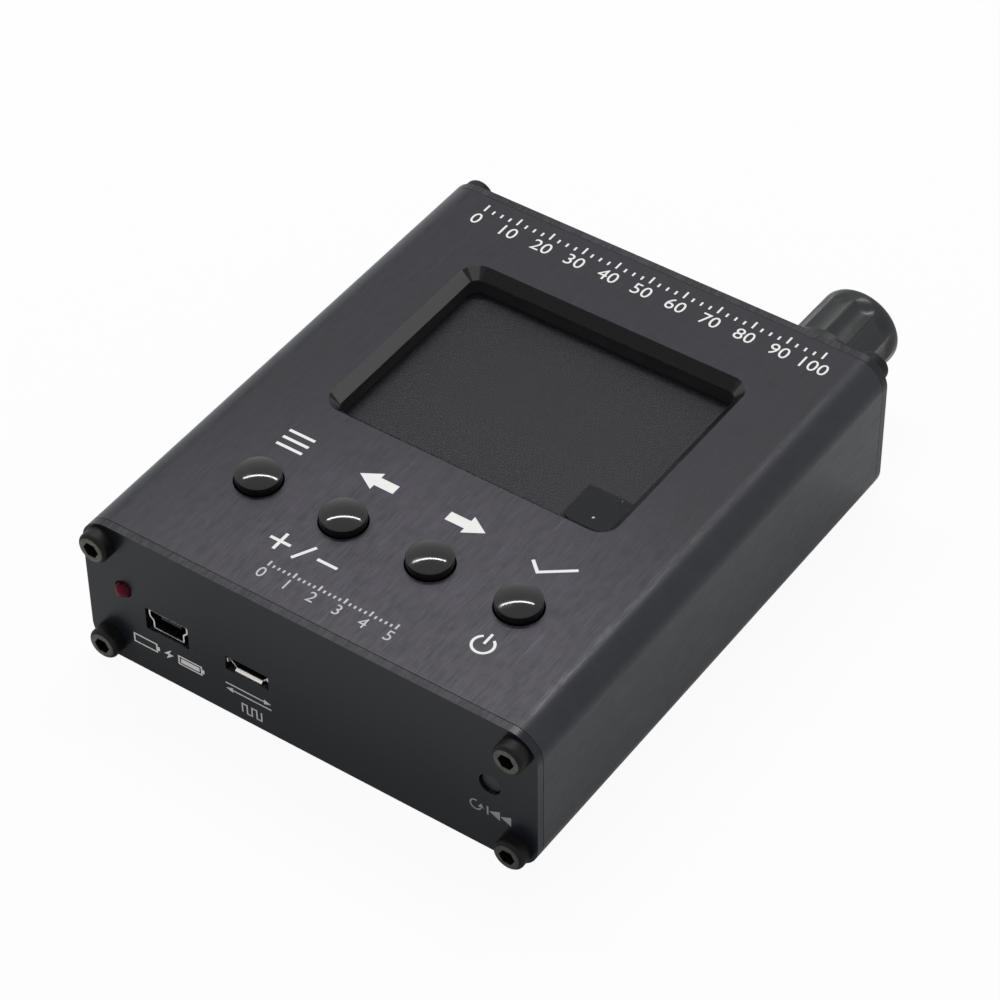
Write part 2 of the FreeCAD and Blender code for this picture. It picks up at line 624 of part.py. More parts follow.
def panel_blank(name, side):
    """An end plate's outline with its four screw holes; side is -1 in front and 1 behind."""
    body = new_body(name)
    outside = "case_length / 2 + plate_thick" if side < 0 else "-case_length / 2"
    outline = new_sketch(body, name + "_outline", "XZ_Plane", offset=outside)
    add_rounded_rectangle(outline, "plate", "case_width", "case_height", "case_corner",
                          ("0", "case_height / 2"))
    for column, sign in enumerate(("-", "")):
        for level, height in enumerate(("screw_top_inset", SCREW_Z)):
            add_circle(outline, "screw_%d%d" % (column, level), (sign + SCREW_X, height),
                       "screw_thread + 2 * screw_hole_play")
    plate = pad(body, name + "_plate", outline, "plate_thick", backwards=True)
    doc.recompute()
    return body, plate


def break_panel_edge(body, plate, side):
    """Chamfer the plate's outer edge where it meets the case, which shows as a fine seam."""
    inside = side * size("case_length") / 2
    edge_x = size("case_width") / 2
    height = size("case_height")
    corner = size("case_corner")

    def on_outline(middle, edge):
        near_side = abs(middle.x) > edge_x - corner
        near_level = middle.z < NEAR or middle.z > height - NEAR
        on_hole = isinstance(edge.Curve, Part.Circle) and abs(edge.Curve.Radius - corner) > NEAR
        return abs(middle.y - inside) < NEAR and (near_side or near_level) and not on_hole

    seam = body.newObject("PartDesign::Chamfer", body.Name + "_seam")
    seam.Base = (plate, edges_where(plate.Shape, on_outline))
    seam.setExpression("Size", formula("plate_edge_break"))
    body.Tip = seam
    doc.recompute()


def build_panels():
    """Front plate with sockets, lamp and reset holes; rear plate with the connector hole."""
    body, plate = panel_blank("front_panel", -1)
    break_panel_edge(body, plate, -1)
    holes = new_sketch(body, "front_panel_holes", "XZ_Plane", offset=PLATE_OUTSIDE)
    for label in ("mini", "micro"):
        add_rounded_rectangle(holes, label, "%s_width + 2 * port_play_x" % label,
                              "%s_height + 2 * port_play_z" % label, "port_cut_corner",
                              (PORT_X[label], "main_board_top + %s_height / 2" % label))
    add_circle(holes, "led", (LED_X, LED_Z), "led_diameter + 2 * led_play")
    add_circle(holes, "reset", (RESET_X, RESET_Z), "reset_hole")
    pocket(body, "front_panel_cuts", holes, "2 * plate_thick")
    sub_part("front_panel", body)

    body, plate = panel_blank("rear_panel", 1)
    break_panel_edge(body, plate, 1)
    hole = new_sketch(body, "rear_panel_hole", "XZ_Plane")
    add_circle(hole, "connector", (RF_X, RF_Z), "rf_panel_thread + 2 * rf_panel_play")
    pocket(body, "rear_panel_cut", hole)
    sub_part("rear_panel", body)


def build_panel_screws():
    """Hexagon socket screws, one at each corner of each plate."""
    body = new_body("panel_screw", ("-" + SCREW_X, "-" + PLATE_OUTSIDE, "screw_top_inset"))
    profile = new_sketch(body, "panel_screw_profile", "YZ_Plane")
    add_outline(profile, "screw", [("screw_length", "0"), ("screw_length", "screw_thread / 2"),
                                   ("0", "screw_thread / 2"), ("0", "screw_head / 2"),
                                   ("-screw_head_height", "screw_head / 2"), ("-screw_head_height", "0")])
    turned = revolve(body, "panel_screw_turned", profile, "Y_Axis")
    doc.recompute()
    rim = edges_where(turned.Shape, lambda middle, edge: abs(middle.y + size("screw_head_height")) < NEAR
                      and isinstance(edge.Curve, Part.Circle))
    rounding = body.newObject("PartDesign::Fillet", "panel_screw_round")
    rounding.Base = (turned, rim)
    rounding.setExpression("Radius", formula("min(screw_head_round; screw_head / 4)"))
    body.Tip = rounding
    doc.recompute()
    key_floor = "-%s - screw_head_height + screw_key_depth" % PLATE_OUTSIDE
    key = hexagon("panel_screw_key", "screw_key", "2 * screw_key_depth",
                  ("-" + SCREW_X, key_floor, "screw_top_inset"), FORWARD)
    one = cut("panel_screw_one", body, [key])
    low_pair = mirrored("panel_screw_low_pair", one, (1, 0, 0))
    front = mirrored("panel_screw_front", low_pair, (0, 0, 1), "case_height / 2")
    sub_part("front_panel_screws", front)
    rear = doc.addObject("Part::Mirroring", "panel_screw_rear")
    rear.Source = front
    rear.Normal = Vector(0, 1, 0)
    sub_part("rear_panel_screws", rear)


# --------------------------------------------------------------------------------------
# Boards, spacers and the header between them
# --------------------------------------------------------------------------------------
def four_spacer_places():
    """The spacers' x and y formulas."""
    return [(side + SPACER_X, row) for side in ("-", "") for row in (SPACER_FRONT, SPACER_REAR)]


def spacer_holes(name, low, height):
    """Tools for the screw holes of one board."""
    return [cylinder("%s_hole_%d" % (name, index), "spacer_thread", height, (x, y, low))
            for index, (x, y) in enumerate(four_spacer_places())]


def header_pin_x(index):
    """Formula of a header pin's place."""
    return "(%d - (header_pins - 1) / 2) * header_pin_spacing" % index


def build_boards():
    """Main board in the case's slots and display board on spacers above it."""
    board_low = "main_board_top - board_thick"
    board = box("main_board_blank", "case_width - 2 * case_wall - 2 * board_play",
                "%s - %s" % (BOARD_REAR, BOARD_FRONT), "board_thick",
                ("board_play + case_wall - case_width / 2", BOARD_FRONT, board_low))
    sub_part("main_board", cut("main_board", board, spacer_holes("main_board", board_low, "board_thick")))

    low = "%s - board_thick" % DISPLAY_BOARD_TOP
    board = box("display_board_blank", "case_width - 2 * display_board_side_gap",
                "%s - %s" % (DISPLAY_REAR, DISPLAY_FRONT), "board_thick",
                ("display_board_side_gap - case_width / 2", DISPLAY_FRONT, low))
    pins = [centred_box("header_pin_%d" % index, "header_pin", "header_pin",
                        "header_insert + header_block + board_thick + header_tail",
                        (header_pin_x(index), "header_y",
                         "%s + header_tail - header_insert - header_block - board_thick - header_tail"
                         % DISPLAY_BOARD_TOP))
            for index in range(int(size("header_pins")))]
    pin_row = sub_part("header_pins", group("header_pin_row", pins))
    holes = spacer_holes("display_board", low, "board_thick")
    sub_part("display_board", cut("display_board", board, holes + [pin_row]))

    body_length = "header_pins * header_pin_spacing"
    plug = centred_box("header_plug_block", body_length, "header_width", "header_block",
                       ("0", "header_y", "%s - header_block" % low))
    sub_part("header_plug", cut("header_plug", plug, [pin_row]))
    socket = centred_box("header_socket_block", body_length, "header_width",
                         "%s - header_block" % SPACER_HEIGHT, ("0", "header_y", "main_board_top"))
    sub_part("header_socket", cut("header_socket", socket, [pin_row]))


def build_spacers():
    """Hexagonal spacers between the boards and a screw into each end of each."""
    spacers = []
    screws = []
    display_top = DISPLAY_BOARD_TOP
    for index, (x, y) in enumerate(four_spacer_places()):
        prism = hexagon("spacer_%d" % index, "spacer_flats", SPACER_HEIGHT, (x, y, "main_board_top"))
        low_thread = cylinder("spacer_low_%d" % index, "spacer_thread", "spacer_thread_depth",
                              (x, y, "main_board_top"))
        high_thread = cylinder("spacer_high_%d" % index, "spacer_thread", "spacer_thread_depth",
                               (x, y, "main_board_top + %s - spacer_thread_depth" % SPACER_HEIGHT))
        spacers.append(cut("spacer_bored_%d" % index, prism, [low_thread, high_thread]))
        low_seat = "main_board_top - board_thick - spacer_head_height"
        for end, seat in (("high", display_top), ("low", low_seat)):
            head = cylinder("spacer_screw_head_%s_%d" % (end, index), "spacer_head", "spacer_head_height",
                            (x, y, seat))
            foot = ("%s - board_thick - spacer_thread_depth" % display_top if end == "high"
                    else "main_board_top - board_thick")
            shank = cylinder("spacer_screw_shank_%s_%d" % (end, index), "spacer_thread",
                             "board_thick + spacer_thread_depth", (x, y, foot))
            screws.append(fuse("spacer_screw_%s_%d" % (end, index), [head, shank]))
    sub_part("board_spacers", group("board_spacers", spacers))
    sub_part("spacer_screws", group("spacer_screws", screws))


# --------------------------------------------------------------------------------------
# Display
# --------------------------------------------------------------------------------------
def build_display():
    """Display frame, glass, film, gasket, foam pad and the ribbon to its socket."""
    centre_y = "window_centre_y"
    frame_low = "%s - lcd_thick" % GLASS_TOP
    blank = centred_box("lcd_frame_block", "lcd_length", "lcd_width", "lcd_thick",
                        ("0", centre_y, frame_low))
    glass_at = ("0", centre_y, "%s - lcd_glass_thick" % GLASS_TOP)
    seat = centred_box("lcd_frame_seat", "lcd_length - 2 * lcd_frame_wall", "lcd_width - 2 * lcd_frame_wall",
                       "2 * lcd_glass_thick", glass_at)
    sub_part("lcd_frame", cut("lcd_frame", blank, [seat]))
    inset = "2 * (lcd_frame_wall + lcd_glass_play)"
    sub_part("lcd_glass", centred_box("lcd_glass", "lcd_length - " + inset, "lcd_width - " + inset,
                                      "lcd_glass_thick", glass_at))
    sub_part("lcd_foam_pad", centred_box("lcd_foam_pad", "lcd_length - 2 * foam_margin",
                                         "lcd_width - 2 * foam_margin", "foam_thick",
                                         ("0", centre_y, DISPLAY_BOARD_TOP)))

    ring = new_body("window_gasket")
    outline = new_sketch(ring, "window_gasket_outline", "XY_Plane", offset=GLASS_TOP)
    grow = "2 * gasket_setback"
    add_rounded_rectangle(outline, "inner", "%s + %s" % (WINDOW_LENGTH, grow),
                          "%s + %s" % (WINDOW_DEPTH, grow), "window_corner + gasket_setback", ("0", centre_y))
    add_rounded_rectangle(outline, "outer", "lcd_length - 2 * gasket_inset", "lcd_width - 2 * gasket_inset",
                          "window_corner", ("0", centre_y))
    pad(ring, "window_gasket_ring", outline, "glass_depth - case_wall")
    sub_part("window_gasket", ring)

    film = new_body("screen_film")
    outline = new_sketch(film, "screen_film_outline", "XY_Plane", offset=GLASS_TOP)
    add_rounded_rectangle(outline, "film", "%s - 2 * film_margin" % WINDOW_LENGTH,
                          "%s - 2 * film_margin" % WINDOW_DEPTH, "window_corner", ("0", centre_y))
    pad(film, "screen_film_sheet", outline, "film_thick")
    tab_x = "%s / 2 - film_margin - film_tab_side_gap - film_tab / 2" % WINDOW_LENGTH
    tab_y = "window_centre_y - %s / 2 + film_margin + film_tab_front_gap + film_tab / 2" % WINDOW_DEPTH
    tab = new_sketch(film, "screen_film_tab_outline", "XY_Plane", offset="%s + film_thick" % GLASS_TOP)
    add_rounded_rectangle(tab, "tab", "film_tab", "film_tab", "window_corner", (tab_x, tab_y))
    pad(film, "screen_film_tab", tab, "film_tab_lift")
    sub_part("screen_film", film)

    build_ribbon()


def build_ribbon():
    """The display's ribbon: out of the frame's left side and round in one bend to the board."""
    half_thick = size("flex_thick") / 2
    high = value(GLASS_TOP) - size("lcd_thick") / 2
    low = value(DISPLAY_BOARD_TOP) + size("flex_lift")
    radius = (high - low) / 2
    start = -size("lcd_length") / 2
    outermost = start - size("flex_reach")
    turn_x = outermost + radius
    end = outermost + size("flex_return")
    middle = Vector(turn_x, 0, high - radius)

    def band_edge(offset):
        reach = radius + offset
        top, bottom = middle + Vector(0, 0, reach), middle - Vector(0, 0, reach)
        over = Part.LineSegment(Vector(start, 0, high + offset), top)
        bend = Part.Arc(top, middle - Vector(reach, 0, 0), bottom)
        back = Part.LineSegment(bottom, Vector(end, 0, low - offset))
        return [over.toShape(), bend.toShape(), back.toShape()]

    outer_edges = band_edge(half_thick)
    inner_edges = band_edge(-half_thick)
    across = Vector(0, 0, half_thick)
    ends = [Part.LineSegment(point + across, point - across).toShape()
            for point in (Vector(start, 0, high), Vector(end, 0, low))]
    wire = Part.Wire(Part.__sortEdges__(outer_edges + inner_edges + ends))
    strip = Part.Face(wire).extrude(Vector(0, size("flex_width"), 0))
    ribbon = from_code("lcd_ribbon", strip)
    place(ribbon, ("0", "window_centre_y - flex_width / 2", "0"))
    sub_part("lcd_ribbon", ribbon)


# --------------------------------------------------------------------------------------
# Keys
# --------------------------------------------------------------------------------------
KEY_NAMES = ("menu", "left", "right", "ok")


def key_name(index):
    """A key's name; the keys of a longer row go on as numbers."""
    return KEY_NAMES[index] if index < len(KEY_NAMES) else "extra_%d" % (index + 1)


def build_keys():
    """Key caps on their stems, and the four switches that carry them."""
    bases = []
    covers = []
    board_top = DISPLAY_BOARD_TOP
    for index in range(int(size("button_count"))):
        x = key_x(index)
        name = key_name(index)
        cap_foot = "%s + button_clear" % SWITCH_TOP
        dome_level = "(case_height + button_rim)"
        socket_depth = "(stem_height - button_clear)"

        cap = new_body("cap_" + name, (x, "button_row_y", cap_foot))
        profile = new_sketch(cap, "cap_profile_" + name, "XZ_Plane")
        wall = "%s - (%s)" % (dome_level, cap_foot)
        rise = "(button_dome)"
        half = "(button_diameter / 2)"
        sphere = "((%s * %s + %s * %s) / (2 * %s))" % (half, half, rise, rise, rise)
        crown = "(%s + button_dome)" % wall
        bore_r, rim_r = value("stem_diameter / 2"), value(half)
        rim_z, crown_z, socket_z, dome_r = value(wall), value(crown), value(socket_depth), value(sphere)
        lines = [((bore_r, 0), (rim_r, 0)), ((rim_r, 0), (rim_r, rim_z)), ((0, crown_z), (0, socket_z)),
                 ((0, socket_z), (bore_r, socket_z)), ((bore_r, socket_z), (bore_r, 0))]
        for start, end in lines:
            profile.addGeometry(Part.LineSegment(Vector(*start, 0), Vector(*end, 0)), False)
        ball = Part.Circle(Vector(0, crown_z - dome_r, 0), Vector(0, 0, 1), dome_r)
        profile.addGeometry(Part.ArcOfCircle(ball, math.acos(rim_r / dome_r), math.pi / 2), False)
        for first, second in (((0, 2), (1, 1)), ((1, 2), (5, 1)), ((5, 2), (2, 1)), ((2, 2), (3, 1)),
                              ((3, 2), (4, 1)), ((4, 2), (0, 1))):
            profile.addConstraint(Sketcher.Constraint("Coincident", *first, *second))
        for line, direction in ((0, "Horizontal"), (1, "Vertical"), (3, "Horizontal"), (4, "Vertical")):
            profile.addConstraint(Sketcher.Constraint(direction, line))
        profile.addConstraint(Sketcher.Constraint("PointOnObject", 2, 1, -2))
        profile.addConstraint(Sketcher.Constraint("PointOnObject", 2, 2, -2))
        profile.addConstraint(Sketcher.Constraint("PointOnObject", 0, 1, -1))
        constrain(profile, "cap_half", half, "DistanceX", -1, 1, 0, 2)
        constrain(profile, "stem_half", "stem_diameter / 2", "DistanceX", -1, 1, 0, 1)
        constrain(profile, "wall", wall, "DistanceY", -1, 1, 1, 2)
        constrain(profile, "crown", crown, "DistanceY", -1, 1, 2, 1)
        constrain(profile, "socket", socket_depth, "DistanceY", -1, 1, 3, 2)
        constrain(profile, "sphere", sphere, "Radius", 5)
        turned = revolve(cap, "cap_turned_" + name, profile, "Z_Axis")
        doc.recompute()
        rim = edges_where(turned.Shape, lambda middle, edge: abs(middle.z - rim_z) < NEAR)
        rounding = cap.newObject("PartDesign::Fillet", "cap_round_" + name)
        rounding.Base = (turned, rim)
        rounding.setExpression("Radius", formula("min(button_round; button_rim / 2)"))
        cap.Tip = rounding
        doc.recompute()
        sub_part("button_cap_" + name, cap)

        stem_low = "%s - switch_cover - stem_play - stem_flange_thick" % SWITCH_TOP
        foot = cylinder("stem_foot_" + name, "stem_flange", "stem_flange_thick",
                        (x, "button_row_y", stem_low))
        shaft = cylinder("stem_shaft_" + name, "stem_diameter",
                         "stem_height + switch_cover + stem_play + stem_flange_thick",
                         (x, "button_row_y", stem_low))
        sub_part("button_stem_" + name, fuse("stem_" + name, [foot, shaft]))

        block = centred_box("switch_block_" + name, "switch_side", "switch_side", "switch_height",
                            (x, "button_row_y", board_top))
        well = cylinder("switch_well_" + name, "stem_flange + 2 * stem_well_play", "2 * stem_well_depth",
                        (x, "button_row_y", "%s + switch_height - stem_well_depth" % board_top))
        bases.append(cut("switch_base_" + name, block, [well]))
        lid = centred_box("switch_lid_" + name, "switch_side", "switch_side", "switch_cover",
                          (x, "button_row_y", "%s + switch_height" % board_top))
        eye = cylinder("switch_eye_" + name, "stem_diameter + 2 * stem_play", "3 * switch_cover",
                       (x, "button_row_y", "%s + switch_height - switch_cover" % board_top))
        covers.append(cut("switch_cover_" + name, lid, [eye]))
    sub_part("key_switch_bases", group("key_switch_bases", bases))
    sub_part("key_switch_covers", group("key_switch_covers", covers))


def build_reset():
    """The reset key: a switch standing on edge behind its hole."""
    cover_face = "%s + stem_height" % RESET_FACE
    body_face = "%s + stem_height + switch_cover" % RESET_FACE
    block = box("reset_block", "switch_side", "switch_height", "reset_rise + switch_side / 2",
                ("%s - switch_side / 2" % RESET_X, body_face, "main_board_top"))
    well = cylinder("reset_well", "stem_flange + 2 * stem_well_play", "2 * stem_well_depth",
                    (RESET_X, "%s - stem_well_depth" % body_face, RESET_Z), REARWARD)
    sub_part("reset_switch_base", cut("reset_switch_base", block, [well]))
    lid = box("reset_lid", "switch_side", "switch_cover", "reset_rise + switch_side / 2",
              ("%s - switch_side / 2" % RESET_X, cover_face, "main_board_top"))
    eye = cylinder("reset_eye", "stem_diameter + 2 * stem_play", "3 * switch_cover",
                   (RESET_X, "%s - switch_cover" % cover_face, RESET_Z), REARWARD)
    sub_part("reset_switch_cover", cut("reset_switch_cover", lid, [eye]))
    shaft = cylinder("reset_shaft", "stem_diameter", "stem_height + switch_cover + stem_play",
                     (RESET_X, RESET_FACE, RESET_Z), REARWARD)
    foot = cylinder("reset_foot", "stem_flange", "stem_flange_thick",
                    (RESET_X, "%s + stem_play" % body_face, RESET_Z), REARWARD)
    sub_part("reset_button", fuse("reset_button", [shaft, foot]))


# --------------------------------------------------------------------------------------
# Front-panel lamp and sockets
# --------------------------------------------------------------------------------------
def build_lamp():
    """The round charge lamp and its two bent leads."""
    radius = "led_diameter / 2"
    tip = "(-case_length / 2 - plate_thick - led_proud)"
    back = "(%s + led_length)" % tip
    barrel = cylinder("led_barrel", "led_diameter", "led_length - led_diameter / 2",
                      (LED_X, "%s + %s" % (tip, radius), LED_Z), REARWARD)
    collar = cylinder("led_collar_disc", "led_collar", "led_collar_thick",
                      (LED_X, "%s - led_collar_thick" % back, LED_Z), REARWARD)
    dome = place(bind(doc.addObject("Part::Sphere", "led_dome"), Radius=radius),
                 (LED_X, "%s + %s" % (tip, radius), LED_Z))
    sub_part("charge_led", fuse("charge_led", [barrel, collar, dome]))

    back_y = -size("case_length") / 2 - size("plate_thick") - size("led_proud") + size("led_length")
    run = size("led_lead_run")
    level = value(LED_Z)
    leads = []
    for side in (-0.5, 0.5):
        x = value(LED_X) + side * size("led_lead_pitch")
        start = Vector(x, back_y, level)
        corner = Vector(x, back_y + run, level)
        end = Vector(x, back_y + run, size("main_board_top"))
        leads.append(bent_wire([start, corner, end], [size("led_lead_bend")], size("led_lead") / 2))
    sub_part("led_leads", from_code("led_leads", Part.makeCompound(leads)))


def bent_wire(points, radii, radius):
    """A round wire along straight runs joined by tangent arcs of the given radii."""
    edges = []
    start = points[0]
    for index, bend in enumerate(radii, start=1):
        before = (points[index] - points[index - 1]).normalize()
        after = (points[index + 1] - points[index]).normalize()
        reach = bend * math.tan(before.getAngle(after) / 2)
        entry = points[index] - before * reach
        leave = points[index] + after * reach
        inward = (after - before).normalize()
        centre = points[index] + inward * (bend / math.cos(before.getAngle(after) / 2))
        middle = centre + (points[index] - centre).normalize() * bend
        edges.append(Part.LineSegment(start, entry).toShape())
        edges.append(Part.Arc(entry, middle, leave).toShape())
        start = leave
    edges.append(Part.LineSegment(start, points[-1]).toShape())
    path = Part.Wire(edges)
    direction = (points[1] - points[0]).normalize()
    section = Part.Wire([Part.Circle(points[0], direction, radius).toShape()])
    return path.makePipeShell([section], True, False)


def socket_bar(label):
    """A bar with the outline of a socket's shell, wide side up, its mouth in the plane y = 0."""
    half, foot = size(label + "_width") / 2, size(label + "_neck") / 2
    low = size("main_board_top")
    high = low + size(label + "_height")
    waist = high - size(label + "_shoulder")
    step = waist - (half - foot)
    points = [Vector(half, 0, high), Vector(half, 0, waist), Vector(foot, 0, step), Vector(foot, 0, low),
              Vector(-foot, 0, low), Vector(-foot, 0, step), Vector(-half, 0, waist), Vector(-half, 0, high)]
    bar = Part.Face(Part.makePolygon(points + [points[0]])).extrude(Vector(0, size(label + "_length"), 0))
    long_edges = [edge for edge in bar.Edges if abs(edge.tangentAt(edge.FirstParameter).y) > 1 - NEAR]
    return bar.makeFillet(min(size(label + "_corner"), (step - low) / 2), long_edges)


def socket_inside(bar):
    """The face of the hollow inside a socket's shell, in the plane of its mouth."""
    mouth = next(face for face in bar.Faces if all(abs(corner.Point.y) < NEAR for corner in face.Vertexes))
    return Part.Face(mouth.OuterWire.makeOffset2D(-size("port_sheet")))


def flared_lips(label):
    """Four sheet lips that spread from the sides of a socket's mouth."""
    reach, flare, sheet_thick = size(label + "_lip"), size(label + "_lip_flare"), size("port_sheet")
    corner = size(label + "_corner")
    half, foot = size(label + "_width") / 2, size(label + "_neck") / 2 - corner
    low = size("main_board_top")
    high = low + size(label + "_height")

    def lip(points, along):
        return Part.Face(Part.makePolygon(points + [points[0]])).extrude(along)

    lips = []
    for level, outward in ((low, -1), (high, 1)):
        width = foot if outward < 0 else half - corner
        section = [Vector(-width, 0, level), Vector(-width, -reach, level + outward * flare),
                   Vector(-width, -reach, level + outward * (flare - sheet_thick)),
                   Vector(-width, 0, level - outward * sheet_thick)]
        lips.append(lip(section, Vector(2 * width, 0, 0)))
    bottom = high - size(label + "_shoulder")
    for side in (-1, 1):
        section = [Vector(side * half, 0, bottom), Vector(side * (half + flare), -reach, bottom),
                   Vector(side * (half + flare - sheet_thick), -reach, bottom),
                   Vector(side * (half - sheet_thick), 0, bottom)]
        lips.append(lip(section, Vector(0, 0, high - corner - bottom)))
    return lips


def build_port(label, contacts_above, lips):
    """One panel socket: its folded shell, its moulding with the tongue and the contacts on it."""
    length, height = size(label + "_length"), size(label + "_height")
    where = (PORT_X[label], PORT_MOUTH[label], "0")
    bar = socket_bar(label)
    inside = socket_inside(bar)
    shell = bar.cut(inside.extrude(Vector(0, length, 0)))
    if lips:
        shell = shell.fuse(lips).removeSplitter()
    sub_part("%s_usb_shell" % label, place(from_code("%s_usb_shell" % label, shell), where))

    block_length = size("port_block")
    block = inside.extrude(Vector(0, block_length, 0))
    block.translate(Vector(0, length - block_length, 0))
    tongue_width = size(label + "_tongue_width")
    level = size("main_board_top") + height - size("port_sheet") - size(label + "_tongue_drop")
    tongue = Part.makeBox(tongue_width, length - block_length - size("tongue_setback"),
                          size(label + "_tongue_thick"),
                          Vector(-tongue_width / 2, size("tongue_setback"), level))
    moulding = block.fuse(tongue).removeSplitter()
    sub_part("%s_usb_insulator" % label, place(from_code("%s_usb_insulator" % label, moulding), where))

    side = "%s_tongue_thick" % label if contacts_above else "-contact_thick"
    seat = "main_board_top + %s_height - port_sheet - %s_tongue_drop + %s" % (label, label, side)
    reach = "%s_length - port_block - tongue_setback - contact_setback" % label
    tip = "%s + tongue_setback + contact_setback" % PORT_MOUTH[label]
    contacts = []
    for index in range(int(size("port_contacts"))):
        across = "(%d - (port_contacts - 1) / 2) * %s_contact_spacing" % (index, label)
        corner = ("%s + %s - %s_contact_width / 2" % (PORT_X[label], across, label), tip, seat)
        contacts.append(box("%s_contact_%d" % (label, index), "%s_contact_width" % label, reach,
                            "contact_thick", corner))
    sub_part("%s_usb_contacts" % label, group("%s_usb_contacts" % label, contacts))


# --------------------------------------------------------------------------------------
# Aerial connector and its dust cap
# --------------------------------------------------------------------------------------
def build_connector():
    """Threaded coaxial connector: shell, insulator, contact, washer and nut."""
    at = (RF_X, "0", RF_Z)
    body = new_body("rf_shell_turning", at)
    profile = new_sketch(body, "rf_shell_profile", "YZ_Plane")
    mouth = "(%s + rf_barrel_length)" % FLANGE_REAR
    bore_floor = "(%s - rf_bore_depth)" % mouth
    neck_end = "(%s + rf_neck_length)" % FLANGE_REAR
    panel_end = "(%s - rf_panel_length)" % PLATE_OUTSIDE
    add_outline(profile, "shell", [(panel_end, "rf_tail / 2"), (panel_end, "rf_panel_thread / 2"),
                                   (PLATE_OUTSIDE, "rf_panel_thread / 2"), (PLATE_OUTSIDE, "rf_neck / 2"),
                                   (neck_end, "rf_neck / 2"), (neck_end, "rf_thread / 2"),
                                   (mouth, "rf_thread / 2"), (mouth, "rf_bore / 2"),
                                   (bore_floor, "rf_bore / 2"), (bore_floor, "rf_tail / 2")])
    revolve(body, "rf_shell_turned", profile, "Y_Axis")
    collar = hexagon("rf_flange", "rf_flange_flats", "rf_flange_thick", (RF_X, PLATE_OUTSIDE, RF_Z),
                     REARWARD)
    eye = cylinder("rf_flange_eye", "rf_neck", "3 * rf_flange_thick",
                   (RF_X, "%s - rf_flange_thick" % PLATE_OUTSIDE, RF_Z), REARWARD)
    sub_part("rf_connector_shell", fuse("rf_connector_shell", [body, cut("rf_flange_ring", collar, [eye])]))

    tail_front = "(%s - rf_tail_length)" % panel_end
    filling = cylinder("rf_filling", "rf_tail", "%s - %s" % (bore_floor, tail_front),
                       (RF_X, tail_front, RF_Z), REARWARD)
    contact_hole = cylinder("rf_filling_hole", "rf_contact", "%s - %s" % (mouth, tail_front),
                            (RF_X, tail_front, RF_Z), REARWARD)
    sub_part("rf_insulator", cut("rf_insulator", filling, [contact_hole]))

    socket_end = "(%s - rf_contact_setback)" % mouth
    rod = cylinder("rf_contact_rod", "rf_contact", "%s - %s" % (socket_end, tail_front),
                   (RF_X, tail_front, RF_Z), REARWARD)
    hollow = cylinder("rf_contact_hollow", "rf_contact_bore", "rf_bore_depth",
                      (RF_X, "%s - rf_bore_depth + rf_contact_setback" % socket_end, RF_Z), REARWARD)
    drilled = cut("rf_contact_drilled", rod, [hollow])
    start = Vector(value(RF_X), value(tail_front), value(RF_Z))
    corner = start - Vector(0, size("rf_pin_run"), 0)
    end = Vector(corner.x, corner.y, size("main_board_top"))
    pin_path = bent_wire([start, corner, end], [size("rf_pin_bend")], size("rf_pin") / 2)
    pin = from_code("rf_solder_pin", pin_path)
    sub_part("rf_contact", fuse("rf_contact", [drilled, pin]))

    washer_at = (RF_X, "%s - rf_washer_thick" % PLATE_INSIDE, RF_Z)
    disc = cylinder("rf_washer_disc", "rf_washer", "rf_washer_thick", washer_at, REARWARD)
    hole = cylinder("rf_washer_hole", "rf_panel_thread", "3 * rf_washer_thick",
                    (RF_X, "%s - 2 * rf_washer_thick" % PLATE_INSIDE, RF_Z), REARWARD)
    sub_part("rf_lock_washer", cut("rf_lock_washer", disc, [hole]))
    nut_front = "%s - rf_washer_thick - rf_nut_thick" % PLATE_INSIDE
    prism = hexagon("rf_nut_prism", "rf_nut_flats", "rf_nut_thick", (RF_X, nut_front, RF_Z), REARWARD)
    bore = cylinder("rf_nut_bore", "rf_panel_thread", "3 * rf_nut_thick",
                    (RF_X, "%s - rf_nut_thick" % nut_front, RF_Z), REARWARD)
    sub_part("rf_panel_nut", cut("rf_panel_nut", prism, [bore]))


